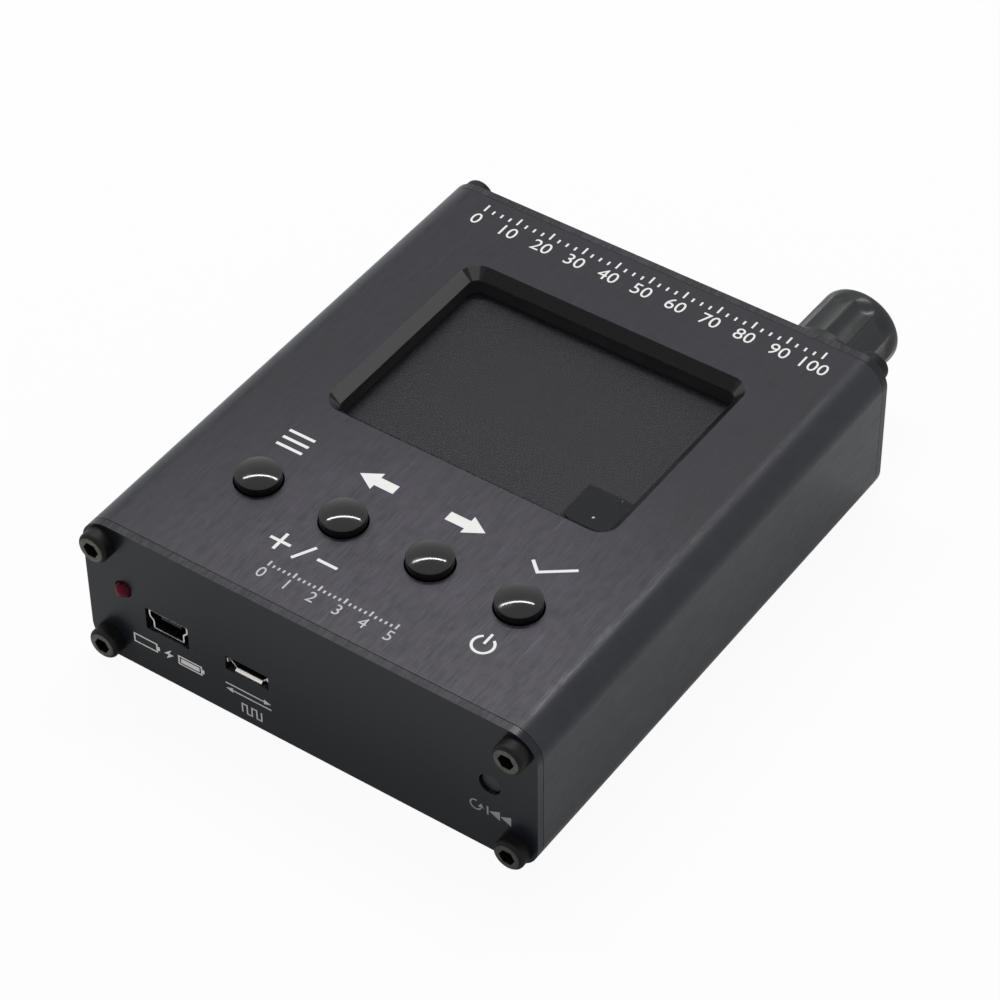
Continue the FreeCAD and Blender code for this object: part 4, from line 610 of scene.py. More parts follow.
@dataclass(frozen=True, kw_only=True)
class Moulding(Finish):
    """Moulded plastic or rubber: grain, a little clouding, dust and polished edges."""

    light: Colour
    grain_size: float = 0.2 * MM
    depth: float = 0.01 * MM
    dust: float = 0.0
    dust_colour: Colour = (0.5, 0.48, 0.45)
    polish: float = 0.08
    patch: float = 5.0 * MM
    wear_radius: float = 0.3 * MM

    def pattern(self, on: Surface) -> Feeds:
        """Grain the surface and polish its edges.

        Args:
            on: The material's tree.

        Returns:
            What feeds the shader, by input.
        """
        patches, wear = on.patches(self.patch), on.wear(self.wear_radius)
        tinted = on.mix(on.math("MAXIMUM", patches * 0.5, wear), self.colour, self.light)
        gloss = on.math("SUBTRACT", self.gloss(on, patches, -0.03, 0.04), wear * self.polish, clamp=True)
        return {"Base Color": on.mix(on.dust(0.13 * MM, self.dust), tinted, self.dust_colour),
                "Roughness": gloss, "Normal": on.bump(on.grain(self.grain_size), self.depth)}


@dataclass(frozen=True, kw_only=True)
class Plating(Finish):
    """Metal or an oxide on it: handling clouds, fine drawn lines and tarnish in patches."""

    tarnish: Colour
    line_width: float = 0.05 * MM
    line_length: float = 1.5 * MM
    scratch: float = 0.002 * MM
    patch: float = 2.5 * MM
    seed: float = 9.2

    def pattern(self, on: Surface) -> Feeds:
        """Tarnish the metal and draw its lines.

        Args:
            on: The material's tree.

        Returns:
            What feeds the shader, by input.
        """
        patches = on.patches(self.patch)
        lines = on.lines(self.line_width, self.line_length, self.seed)
        toned = on.mix(patches, self.colour, self.tarnish)
        gloss = on.math("ADD", self.gloss(on, patches, -0.05, 0.08), lines["Shade"] * 0.06, clamp=True)
        return {"Base Color": on.mix(on.wear(0.15 * MM, 1.2 * MM) * 0.5, toned, self.colour),
                "Roughness": gloss, "Normal": on.bump(lines["Height"], self.scratch)}


@dataclass(frozen=True, kw_only=True)
class ShellPlating(Finish):
    """Plating of a socket's shell: its own bright colour on the rim and the lower lip, painted shade in its
    mouth.
    """

    # rim is the plating's own colour; colour is painted shade in the shell's mouth and on its inner walls.
    rim: Colour
    patch: float = 0.8 * MM

    def pattern(self, on: Surface) -> Feeds:
        """Keep the plating bright on what faces forwards and on the lip, and paint shade on the rest.

        Args:
            on: The material's tree.

        Returns:
            What feeds the shader, by input.
        """
        _, y, z = on.facing
        forward = on.remap(y, -0.75, -0.45, 1.0, 0.0)
        lip = on.remap(z, 0.3, 0.6) * on.remap(y, -0.35, -0.15, 1.0, 0.0)
        patches = on.patches(self.patch)
        # bright marks where the plating keeps its own colour; elsewhere it takes painted shade.
        bright = on.math("MAXIMUM", forward, lip) * on.remap(patches, 0.0, 1.0, 0.85, 1.0)
        return {"Base Color": on.mix(bright, self.colour, self.rim),
                "Roughness": self.gloss(on, patches, -0.05, 0.08)}


@dataclass(frozen=True, kw_only=True)
class Ink(Finish):
    """Screen-printed ink: nearly even, with thin spots."""

    thin: Colour
    patch: float = 3.0 * MM

    def pattern(self, on: Surface) -> Feeds:
        """Thin the ink in small spots.

        Args:
            on: The material's tree.

        Returns:
            What feeds the shader, by input.
        """
        spots = on.remap(on.noise(on.where, 5200.0, 2.0), 0.56, 0.74)
        patches = on.patches(self.patch)
        return {"Base Color": on.mix(on.math("MAXIMUM", spots, patches * 0.3), self.colour, self.thin),
                "Roughness": self.gloss(on, patches, -0.05, 0.1)}


@dataclass(frozen=True, kw_only=True)
class PanelGlass(Finish):
    """Display glass that is switched off: an even dark face with a faint haze."""

    haze: Colour
    patch: float = 30.0 * MM

    def pattern(self, on: Surface) -> Feeds:
        """Haze the face, with the picture cells just felt in it.

        Args:
            on: The material's tree.

        Returns:
            What feeds the shader, by input.
        """
        patches = on.patches(self.patch)
        cells = on.take("Fac", "ShaderNodeTexChecker", {"Vector": on.where, "Scale": 6200.0})
        return {"Base Color": on.mix(patches * 0.3 + cells * 0.06, self.colour, self.haze),
                "Normal": on.flat(), "Roughness": self.gloss(on, patches, -0.01, 0.01)}


@dataclass(frozen=True, kw_only=True)
class ProtectiveFilm(Finish):
    """Clear film with a tinted square pull tab near one corner."""

    tab_colour: Colour
    tab_low: Point
    tab_high: Point
    speck: Colour = (0.7, 0.72, 0.75)
    clear: float = 0.10
    tab_cover: float = 0.85
    patch: float = 8.0 * MM

    def pattern(self, on: Surface) -> Feeds:
        """Tint the tab and make the rest nearly clear.

        Args:
            on: The material's tree.

        Returns:
            What feeds the shader, by input.
        """
        inside = on.inside(self.tab_low, self.tab_high)
        specks = inside * on.remap(on.noise(on.where, 1500.0, 1.0), 0.74, 0.78)
        cover = on.math("MAXIMUM", specks, on.remap(inside, 0.0, 1.0, self.clear, self.tab_cover))
        return {"Base Color": on.mix(specks, on.mix(inside, self.colour, self.tab_colour), self.speck),
                "Alpha": cover * on.remap(abs(on.facing[2]), 0.3, 0.7), "Normal": on.flat(),
                "Roughness": self.gloss(on, on.patches(self.patch), -0.015, 0.015)}


@dataclass(frozen=True, kw_only=True)
class Lens(Finish):
    """Tinted clear plastic of a lamp, darker where it is thick."""

    deep: Colour

    def pattern(self, on: Surface) -> Feeds:
        """Deepen the tint away from the tip and cloud it a little.

        Args:
            on: The material's tree.

        Returns:
            What feeds the shader, by input.
        """
        swirl = on.remap(on.noise(on.where, 900.0, 2.0), 0.35, 0.65, 0.0, 0.35)
        shade = on.math("ADD", on.remap(on.facing[1], -1.0, -0.2), swirl, clamp=True)
        return {"Base Color": on.mix(shade, self.colour, self.deep)}


@dataclass(frozen=True, kw_only=True)
class BoardMask(Finish):
    """Solder mask over copper tracks, with the laminate showing at the cut edge."""

    track: Colour
    laminate: Colour = (0.36, 0.30, 0.14)
    laminate_roughness: float = 0.85
    tin: Colour = (0.62, 0.60, 0.55)
    depth: float = 0.03 * MM

    def pattern(self, on: Surface) -> Feeds:
        """Lay tracks and through-holes under the mask and lay the edge open.

        Args:
            on: The material's tree.

        Returns:
            What feeds the shader, by input.
        """
        routed = on.remap(on.noise(on.where, 160.0, 1.0), 0.46, 0.52)
        tracks = routed * on.take("Fac", "ShaderNodeTexBrick", {
            "Vector": on.where, "Scale": 330.0, "Mortar Size": 0.05, "Mortar Smooth": 0.3,
            "Brick Width": 1.9, "Row Height": 0.31})
        holes = on.cells(on.where, 290.0)
        ring = (holes < 0.16) * (holes > 0.07) * routed
        flat = on.remap(abs(on.facing[2]), 0.6, 0.8)
        tinned = on.mix(ring, on.mix(tracks, self.colour, self.track), self.tin)
        return {"Base Color": on.mix(flat, self.laminate, tinned), "Normal": on.bump(tracks, self.depth),
                "Roughness": on.remap(flat, 0.0, 1.0, self.laminate_roughness, self.roughness)}


@dataclass(frozen=True, kw_only=True)
class PrintedFilm(Finish):
    """Thin polyimide film with copper lines along Y in it."""

    line: Colour
    pitch: float = 0.5 * MM
    patch: float = 4.0 * MM

    def pattern(self, on: Surface) -> Feeds:
        """Draw the copper lines under the film.

        Args:
            on: The material's tree.

        Returns:
            What feeds the shader, by input.
        """
        rows = on.math("PINGPONG", on.split(on.where)[1] / self.pitch, 0.5)
        return {"Base Color": on.mix(on.remap(rows, 0.2, 0.28), self.line, self.colour),
                "Roughness": self.gloss(on, on.patches(self.patch), -0.05, 0.1)}


@dataclass(frozen=True, kw_only=True)
class Pouch(Finish):
    """Laminated foil pouch of a flat cell, softly creased."""

    crease: Colour
    patch: float = 12.0 * MM
    depth: float = 0.05 * MM

    def pattern(self, on: Surface) -> Feeds:
        """Crease the foil and dull it in patches.

        Args:
            on: The material's tree.

        Returns:
            What feeds the shader, by input.
        """
        creases = on.remap(on.cells(on.where, 95.0, "DISTANCE_TO_EDGE"), 0.0, 0.12, 1.0, 0.0)
        patches = on.patches(self.patch)
        return {"Base Color": on.mix(creases, self.colour, self.crease),
                "Roughness": self.gloss(on, patches, -0.06, 0.12),
                "Normal": on.bump(creases + patches, self.depth)}


@dataclass(frozen=True, kw_only=True)
class CellFoam(Finish):
    """Foam or foam tape with open cells."""

    pore: Colour
    depth: float = 0.12 * MM

    def pattern(self, on: Surface) -> Feeds:
        """Open the cells.

        Args:
            on: The material's tree.

        Returns:
            What feeds the shader, by input.
        """
        pores = on.cells(on.where, 3200.0)
        return {"Base Color": on.mix(on.remap(pores, 0.1, 0.6), self.pore, self.colour),
                "Roughness": on.remap(on.noise(on.where, 7000.0, 2.0), 0.3, 0.7, 0.85, 1.0),
                "Normal": on.bump(pores, self.depth)}


# The finishes of this instrument -------------------------------------------------------
# The case's top face runs from colour to light in its painted pool of light, and its four bevel colours are
# painted light and shade.
CASE_ANODISING = DrawnAnodising(
    name="case_anodising", colour=(0.0118, 0.0110, 0.0180), light=(0.0520, 0.0475, 0.0625),
    side=(0.0212, 0.0236, 0.0315), side_light=(0.0272, 0.0296, 0.0385), roughness=0.34, specular=0.24,
    bevels=((0.075, 0.074, 0.075), (0.054, 0.053, 0.054), (0.048, 0.047, 0.048), (0.015, 0.015, 0.016)),
    window_low=(-27.2 * MM, -8.8 * MM), window_high=(27.2 * MM, 33.2 * MM))
# The plates' edge colour is painted light on their up-facing edges.
PLATE_ANODISING = BlastedAnodising(
    name="plate_anodising", colour=(0.0066, 0.0084, 0.0132), light=(0.0086, 0.0104, 0.0154),
    edge=(0.0300, 0.0272, 0.0345), roughness=0.3, specular=0.24)
# The screws' colour is painted shade and their ring painted light.
SCREW_OXIDE = ScrewOxide(
    name="screw_oxide", colour=(0.004, 0.0042, 0.0044), ring=(0.105, 0.102, 0.090),
    ring_level=51.4 * MM, specular=0.18)
KEY_GLOSS = Moulding(
    name="key_gloss", colour=(0.0040, 0.0042, 0.0046), light=(0.0060, 0.0062, 0.0066), roughness=0.10,
    specular=0.4, grain_size=0.5 * MM, depth=0.0008 * MM, dust=0.08, polish=0.02)
KEY_STEM = Moulding(name="key_stem", colour=(0.010, 0.010, 0.011), light=(0.020, 0.020, 0.021))
CAP_SATIN = Moulding(
    name="cap_satin", colour=(0.0075, 0.0086, 0.0102), light=(0.0180, 0.0200, 0.0225), roughness=0.28,
    specular=0.34, grain_size=0.22 * MM, depth=0.006 * MM, dust=0.2, polish=0.06)
GASKET_RUBBER = Moulding(
    name="gasket_rubber", colour=(0.012, 0.012, 0.012), light=(0.022, 0.022, 0.022), roughness=0.72,
    specular=0.3, grain_size=0.3 * MM)
SOCKET_MOULDING = Moulding(
    name="socket_moulding", colour=(0.008, 0.008, 0.009), light=(0.018, 0.018, 0.019), specular=0.4)
CHIP_MOULDING = Moulding(
    name="chip_moulding", colour=(0.018, 0.018, 0.019), light=(0.034, 0.034, 0.035), roughness=0.6,
    grain_size=0.12 * MM)
FERRITE = Moulding(
    name="ferrite", colour=(0.030, 0.029, 0.028), light=(0.055, 0.053, 0.050), roughness=0.55,
    grain_size=0.35 * MM, depth=0.03 * MM)
PLUG_NYLON = Moulding(
    name="plug_nylon", colour=(0.66, 0.62, 0.50), light=(0.74, 0.70, 0.60), roughness=0.42)
CONNECTOR_PTFE = Moulding(
    name="connector_ptfe", colour=(0.78, 0.78, 0.76), light=(0.86, 0.86, 0.84), roughness=0.38,
    grain_size=0.4 * MM)
RED_SHEATH = Moulding(
    name="red_sheath", colour=(0.34, 0.012, 0.010), light=(0.42, 0.025, 0.02), roughness=0.36)
BLACK_SHEATH = Moulding(
    name="black_sheath", colour=(0.012, 0.012, 0.013), light=(0.022, 0.022, 0.023), roughness=0.36)
NICKEL = Plating(
    name="nickel", colour=(0.72, 0.70, 0.66), tarnish=(0.62, 0.60, 0.56), metallic=1.0, roughness=0.24,
    scratch=0.0005 * MM)
# The shell's colour is painted shade for its mouth; rim is the plating's own colour.
SOCKET_SHELL = ShellPlating(
    name="socket_shell", colour=(0.10, 0.098, 0.092), rim=(0.86, 0.85, 0.81), metallic=1.0, roughness=0.3)
TINNED_SHEET = Plating(
    name="tinned_sheet", colour=(0.66, 0.66, 0.65), tarnish=(0.50, 0.50, 0.49), metallic=1.0,
    roughness=0.30, line_width=0.12 * MM, line_length=5.0 * MM)
GOLD = Plating(
    name="gold", colour=(0.86, 0.62, 0.26), tarnish=(0.74, 0.50, 0.20), metallic=1.0, roughness=0.22)
BOARD_GREEN = BoardMask(
    name="board_green", colour=(0.012, 0.085, 0.035), track=(0.03, 0.16, 0.06), roughness=0.32, coat=0.2)
DISPLAY_GLASS = PanelGlass(
    name="display_glass", colour=(0.0105, 0.0108, 0.0150), haze=(0.0190, 0.0192, 0.0250), roughness=0.42,
    specular=0.22)
DISPLAY_BEZEL = Plating(
    name="display_bezel", colour=(0.30, 0.30, 0.31), tarnish=(0.20, 0.20, 0.21), metallic=1.0,
    roughness=0.35, line_width=0.1 * MM, line_length=6.0 * MM)
SCREEN_FILM = ProtectiveFilm(
    name="screen_film", colour=(0.05, 0.05, 0.053), tab_colour=(0.003, 0.004, 0.0068), roughness=0.40,
    specular=0.14, tab_low=(15.7 * MM, -4.7 * MM), tab_high=(24.0 * MM, 3.65 * MM))
LAMP_LENS = Lens(
    name="lamp_lens", colour=(0.150, 0.002, 0.020), deep=(0.050, 0.001, 0.008), roughness=0.20, specular=0.08)
RIBBON_FILM = PrintedFilm(
    name="ribbon_film", colour=(0.42, 0.17, 0.025), line=(0.55, 0.27, 0.06), roughness=0.3)
CELL_POUCH = Pouch(
    name="cell_pouch", colour=(0.55, 0.56, 0.58), crease=(0.40, 0.41, 0.43), metallic=0.8, roughness=0.4)
FOAM = CellFoam(name="foam", colour=(0.030, 0.030, 0.030), pore=(0.008, 0.008, 0.008))
WHITE_INK = Ink(name="white_ink", colour=(0.95, 0.95, 0.94), thin=(0.84, 0.84, 0.83), roughness=0.42)
SCALE_INK = Ink(name="scale_ink", colour=(0.60, 0.59, 0.60), thin=(0.44, 0.43, 0.44), roughness=0.45)
PLATE_INK = Ink(name="plate_ink", colour=(0.80, 0.80, 0.80), thin=(0.60, 0.60, 0.61))
DIM_INK = Ink(name="dim_ink", colour=(0.34, 0.345, 0.36), thin=(0.24, 0.245, 0.26))


# --------------------------------------------------------------------------------------
# Bench: solids, new pieces and flat prints
# --------------------------------------------------------------------------------------
class Bench:
    """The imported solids, the finishes made so far, and how a new piece joins them."""

    def __init__(self, nodes: Mapping[str, bpy.types.Object]) -> None:
        """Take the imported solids.

        Args:
            nodes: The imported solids, by name.
        """
        self.nodes = nodes
        effects = (brushing, clouding, edge_wear, dust, grain, scores)
        self.effects = {effect.__name__: effect() for effect in effects}
        self.materials: dict[str, bpy.types.Material] = {}
        self.dressed: set[str] = set()

    def material(self, finish: Finish) -> bpy.types.Material:
        """The finish's material, built the first time it is asked for.

        Args:
            finish: The finish.

        Returns:
            Its material.
        """
        if finish.name not in self.materials:
            self.materials[finish.name] = finish.build(self.effects)
        return self.materials[finish.name]

    def dress(self, finish: Finish, *names: str) -> None:
        """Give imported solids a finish.

        Args:
            finish: The finish they take.
            *names: The solids' node names.
        """
        for name in names:
            for slot in self.nodes[name].material_slots:
                slot.material = self.material(finish)
            self.dressed.add(name)
            LOG.info("%s wears %s", name, finish.name)

    def add(self, name: str, mesh: bpy.types.Mesh, finish: Finish, slot: str,
            body: str = "enclosure") -> bpy.types.Object:
        """Join a finished mesh, already in its place, to the instrument.

        Args:
            name: The new piece's name.
            mesh: Its mesh, in the frame.
            finish: The finish it takes.
            slot: Not used.
            body: The body that it moves with.

        Returns:
            The piece.
        """
        mesh.name = name
        mesh.materials.clear()
        mesh.materials.append(self.material(finish))
        piece = bpy.data.objects.new(name, mesh)
        bpy.context.scene.collection.objects.link(piece)
        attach(piece, body)
        LOG.info("%s: %d faces on %s", name, len(mesh.polygons), body)
        return piece


def meshed(shape: bmesh.types.BMesh) -> bpy.types.Mesh:
    """A shape as a mesh, after which the shape goes.

    Args:
        shape: The shape, which goes.

    Returns:
        The mesh.
    """
    mesh = bpy.data.meshes.new("shape")
    shape.to_mesh(mesh)
    shape.free()
    return mesh


def loft(shape: bmesh.types.BMesh, rings: Iterable[Iterable[Sequence[float]]], closed: bool = False) -> None:
    """Add a skin over rings of as many points each.

    Args:
        shape: What the skin is added to.
        rings: The points of each ring.
        closed: Whether the last ring joins the first; otherwise both are capped.
    """
    rows = [[shape.verts.new(point) for point in ring] for ring in rings]
    if not closed:
        shape.faces.new(rows[-1])
        shape.faces.new(list(reversed(rows[0])))
    for row, above in zip(rows, rows[1:] + rows[:closed]):
        for index in range(len(row)):
            after = (index + 1) % len(row)
            shape.faces.new((row[index], row[after], above[after], above[index]))


def joined(meshes: Iterable[bpy.types.Mesh]) -> bpy.types.Mesh:
    """Several meshes as one.

    Args:
        meshes: The meshes, which go.

    Returns:
        The one mesh.
    """
    shape = bmesh.new()
    for mesh in meshes:
        shape.from_mesh(mesh)
        bpy.data.meshes.remove(mesh)
    return meshed(shape)


def evaluated(holder: bpy.types.Object) -> bpy.types.Mesh:
    """The plain mesh of an object with its modifiers, after which the object goes.

    Args:
        holder: The object, in no collection yet.

    Returns:
        The mesh that its modifiers end in.
    """
    bpy.context.scene.collection.objects.link(holder)
    bpy.context.view_layer.update()
    graph = bpy.context.evaluated_depsgraph_get()
    mesh = bpy.data.meshes.new_from_object(holder.evaluated_get(graph))
    bpy.data.objects.remove(holder)
    return mesh


def merged(node: bpy.types.Object) -> bpy.types.Mesh:
    """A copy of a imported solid's mesh with its doubled corners joined and without its stored normals.

    Args:
        node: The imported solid, which stays as it is.

    Returns:
        The copy.
    """
    shape = bmesh.new()
    shape.from_mesh(node.data)
    bmesh.ops.remove_doubles(shape, verts=shape.verts, dist=0.0001 * MM)
    mesh = meshed(shape)
    if "custom_normal" in mesh.attributes:
        mesh.attributes.remove(mesh.attributes["custom_normal"])
    return mesh


def smoothed(mesh: bpy.types.Mesh, smooth_below: float = 25.0) -> bpy.types.Mesh:
    """The mesh shaded smooth over bends below so many degrees, its flat faces kept flat.

    Args:
        mesh: What is shaded.
        smooth_below: The bend from which an edge stays sharp.

    Returns:
        The shaded mesh.
    """
    mesh.polygons.foreach_set("use_smooth", [True] * len(mesh.polygons))
    mesh.set_sharp_from_angle(angle=math.radians(smooth_below))
    holder = bpy.data.objects.new("holder", mesh)
    weigh = holder.modifiers.new("weigh", "WEIGHTED_NORMAL")
    weigh.weight = 100
    weigh.keep_sharp = True
    return evaluated(holder)


def cut_away(blank: bpy.types.Mesh, tool: bpy.types.Mesh) -> bpy.types.Mesh:
    """What is left of a mesh when a closed one is taken from it.

    Args:
        blank: What is cut.
        tool: The closed mesh taken from it.

    Returns:
        The cut mesh.
    """
    cutter = bpy.data.objects.new("cutter", tool)
    bpy.context.scene.collection.objects.link(cutter)
    holder = bpy.data.objects.new("holder", blank)
    cut = holder.modifiers.new("cut", "BOOLEAN")
    cut.operation = "DIFFERENCE"
    cut.solver = "EXACT"
    cut.object = cutter
    mesh = evaluated(holder)
    bpy.data.objects.remove(cutter)
    return smoothed(mesh)


class Face(Enum):
    """A flat face of the instrument that carries print: across, up and out of it."""

    TOP = (Vector((1, 0, 0)), Vector((0, 1, 0)), Vector((0, 0, TOP_LEVEL)))
    FRONT = (Vector((1, 0, 0)), Vector((0, 0, 1)), Vector((0, FRONT_FACE, 0)))

    def frame(self) -> Matrix:
        """The matrix that takes a flat print to this face."""
        across, up, origin = self.value
        return Matrix.Translation(origin) @ Matrix((across, up, across.cross(up))).transposed().to_4x4()


@dataclass
class Stencil:
    """Flat outlines in millimetres that are printed as one thin slab of ink."""

    thick: float = 0.018 * MM
    sunk: float = 0.010 * MM

    def __post_init__(self) -> None:
        """Start with nothing drawn."""
        self.outlines: list[Outline] = []
        self.loops: list[Sequence[Outline]] = []

    def polygon(self, *points: Point) -> None:
        """A filled outline."""
        self.outlines.append(points)

    def bar(self, low: Point, high: Point) -> None:
        """A filled upright rectangle."""
        self.polygon(low, (high[0], low[1]), high, (low[0], high[1]))

    @staticmethod
    def _sides(points: Outline, width: float, closed: bool) -> tuple[list[Point], list[Point]]:
        """The two sides of a band along a line of points, with mitred corners.

        Args:
            points: The line.
            width: The band's width.
            closed: Whether the line is a ring.

        Returns:
            The left side and the right side.
        """
        sides: tuple[list[Point], list[Point]] = ([], [])
        last = len(points) - 1
        for index, point in enumerate(points):
            ways = []
            if closed or index:
                ways.append((Vector(point) - Vector(points[index - 1])).normalized())
            if closed or index < last:
                ways.append((Vector(points[(index + 1) % len(points)]) - Vector(point)).normalized())
            lean = sum(ways, Vector((0.0, 0.0))).normalized()
            reach = width / 2 / lean.dot(ways[0])
            for side, sign in zip(sides, (1.0, -1.0)):
                side.append((point[0] - lean.y * reach * sign, point[1] + lean.x * reach * sign))
        return sides

    def path(self, points: Outline, width: float) -> None:
        """A band along a line of points."""
        left, right = self._sides(points, width, False)
        self.polygon(*left, *reversed(right))

    def loop(self, points: Outline, width: float) -> None:
        """A band round a closed line of points."""
        self.loops.append(self._sides(points, width, True))

    def arc(self, centre: Point, radius: float, width: float, start: float, end: float) -> None:
        """A band along an arc, in degrees anticlockwise from start to end.

        Args:
            centre: The arc's middle.
            radius: From there to the band's middle line.
            width: The band's width.
            start: Where it starts.
            end: Where it ends.
        """
        steps = max(8, int(abs(end - start) / 7))
        turns = [math.radians(start + (end - start) * step / steps) for step in range(steps + 1)]
        outer, inner = ([(centre[0] + reach * math.cos(turn), centre[1] + reach * math.sin(turn))
                         for turn in turns] for reach in (radius + width / 2, radius - width / 2))
        self.polygon(*outer, *reversed(inner))

    def mesh(self, face: Face) -> bpy.types.Mesh:
        """The slab of ink on a face.

        Args:
            face: Where it is printed.

        Returns:
            The slab, in the frame.
        """
        shape = bmesh.new()
        low, high = -self.sunk, self.thick
        for outline in self.outlines:
            loft(shape, ([(x * MM, y * MM, level) for x, y in outline] for level in (low, high)))
        for left, right in self.loops:
            edges = ((left, low), (left, high), (right, high), (right, low))
            loft(shape, ([(x * MM, y * MM, level) for x, y in side] for side, level in edges), closed=True)
        bmesh.ops.recalc_face_normals(shape, faces=shape.faces)
        bmesh.ops.triangulate(shape, faces=shape.faces)
        bmesh.ops.transform(shape, matrix=face.frame(), verts=shape.verts)
        return meshed(shape)

    def numeral(self, text: str, centre: Point, height: float, face: Face) -> bpy.types.Mesh:
        """A plain number as a thin slab, centred on a point and of a given height in millimetres.

        Args:
            text: The number.
            centre: Its middle on the face.
            height: Its height.
            face: Where it is printed.

        Returns:
            The slab, in the frame.
        """
        curve = bpy.data.curves.new("numeral", "FONT")
        curve.body = text
        curve.resolution_u = 3
        curve.extrude = 0.2
        mesh = evaluated(bpy.data.objects.new("numeral", curve))
        bpy.data.curves.remove(curve)
        corners = [vertex.co for vertex in mesh.vertices]
        low, high = (Vector([pick(corner[axis] for corner in corners) for axis in range(3)])
                     for pick in (min, max))
        grow = height * MM / (high.y - low.y)
        deep = (self.thick + self.sunk) / (high.z - low.z)
        placed = (Matrix.Translation((centre[0] * MM, centre[1] * MM, (self.thick - self.sunk) / 2))
                  @ Matrix.Diagonal((grow, grow, deep, 1.0)) @ Matrix.Translation((low + high) / -2))
        mesh.transform(face.frame() @ placed)
        return mesh


# --------------------------------------------------------------------------------------
# Geometry Nodes
# --------------------------------------------------------------------------------------
class NodeTool(Graph):
    """A Geometry Nodes tree with named inputs that turns into a plain mesh."""

    def __init__(self, name: str, inputs: Mapping[str, str]) -> None:
        """Start the tree.

        Args:
            name: The tree's name.
            inputs: The socket kind of each named input.
        """
        super().__init__(bpy.data.node_groups.new(name, "GeometryNodeTree"))
        sockets = self.tree.interface
        self.keys = {}
        for label, kind in inputs.items():
            socket = sockets.new_socket(name=label, in_out="INPUT", socket_type="NodeSocket" + kind)
            self.keys[label] = socket.identifier
        sockets.new_socket(name="Geometry", in_out="OUTPUT", socket_type="NodeSocketGeometry")
        outputs = self.add("NodeGroupInput").outputs
        self.ins = {label: Wire(self, outputs[label]) for label in inputs}

    def close(self, geometry: Wire) -> None:
        """End the tree: real geometry that wears the material input.

        Args:
            geometry: What the tree makes.
        """
        real = self.take(0, "GeometryNodeRealizeInstances", {0: geometry})
        worn = self.take(0, "GeometryNodeSetMaterial", {"Geometry": real, "Material": self.ins["Finish"]})
        self.add("NodeGroupOutput", {0: worn})

    def mesh(self, values: Mapping[str, object]) -> bpy.types.Mesh:
        """The tree's mesh for one set of input values.

        Args:
            values: A value for each input, by name.

        Returns:
            The mesh.
        """
        holder = bpy.data.objects.new("holder", bpy.data.meshes.new("holder"))
        modifier = holder.modifiers.new("tool", "NODES")
        modifier.node_group = self.tree
        for label, value in values.items():
            modifier[self.keys[label]] = value
        return evaluated(holder)


class BarRow(NodeTool):
    """A row of upright bars along X, standing on y = 0, every so many of them longer."""

    def __init__(self) -> None:
        """Build the tree."""
        super().__init__("bar_row", {"Count": "Int", "Pitch": "Float", "Width": "Float", "Length": "Float",
                                     "Thickness": "Float", "Long Every": "Int", "Long Length": "Float",
                                     "Finish": "Material"})
        ins = self.ins
        line = self.take(0, "GeometryNodeMeshLine", {
            "Count": ins["Count"], "Start Location": self.combine((ins["Count"] - 1.0) * -0.5 * ins["Pitch"]),
            "Offset": self.combine(ins["Pitch"])})
        is_long = self.take(0, "GeometryNodeInputIndex") % ins["Long Every"] < 0.5
        length = ins["Length"] + (ins["Long Length"] - ins["Length"]) * is_long
        cube = self.take(0, "GeometryNodeMeshCube", {"Size": (1.0, 1.0, 1.0)})
        bar = self.take(0, "GeometryNodeTransform", {"Geometry": cube, "Translation": (0.0, 0.5, 0.5)})
        self.close(self.take(0, "GeometryNodeInstanceOnPoints", {
            "Points": line, "Instance": bar, "Scale": self.combine(ins["Width"], length, ins["Thickness"])}))


class ScrewCoil(NodeTool):
    """The groove of a screw thread as a solid, a coil along Z."""

    def __init__(self) -> None:
        """Build the tree."""
        super().__init__("screw_coil", {"Radius": "Float", "Lead": "Float", "Turns": "Float",
                                        "Groove": "Float", "Finish": "Material"})
        ins = self.ins
        coil = self.take(0, "GeometryNodeCurveSpiral", {
            "Resolution": 40, "Rotations": ins["Turns"], "Start Radius": ins["Radius"],
            "End Radius": ins["Radius"], "Height": ins["Lead"] * ins["Turns"]})
        profile = self.take(0, "GeometryNodeCurvePrimitiveCircle", {"Resolution": 4, "Radius": ins["Groove"]})
        self.close(self.take(0, "GeometryNodeCurveToMesh", {"Curve": coil, "Profile Curve": profile,
                                                            "Fill Caps": True}))


# --------------------------------------------------------------------------------------
# Sub-assemblies
# --------------------------------------------------------------------------------------
@dataclass
class Assembly:
    """A sub-assembly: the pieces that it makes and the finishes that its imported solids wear."""

    bench: Bench
    wears: ClassVar[Mapping[Finish, str]] = {}

    def make(self) -> None:
        """Make the pieces that aren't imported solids; most sub-assemblies have none."""

    def build(self) -> None:
        """Make the pieces and dress the solids."""
        self.make()
        for finish, names in self.wears.items():
            self.bench.dress(finish, *names.split())


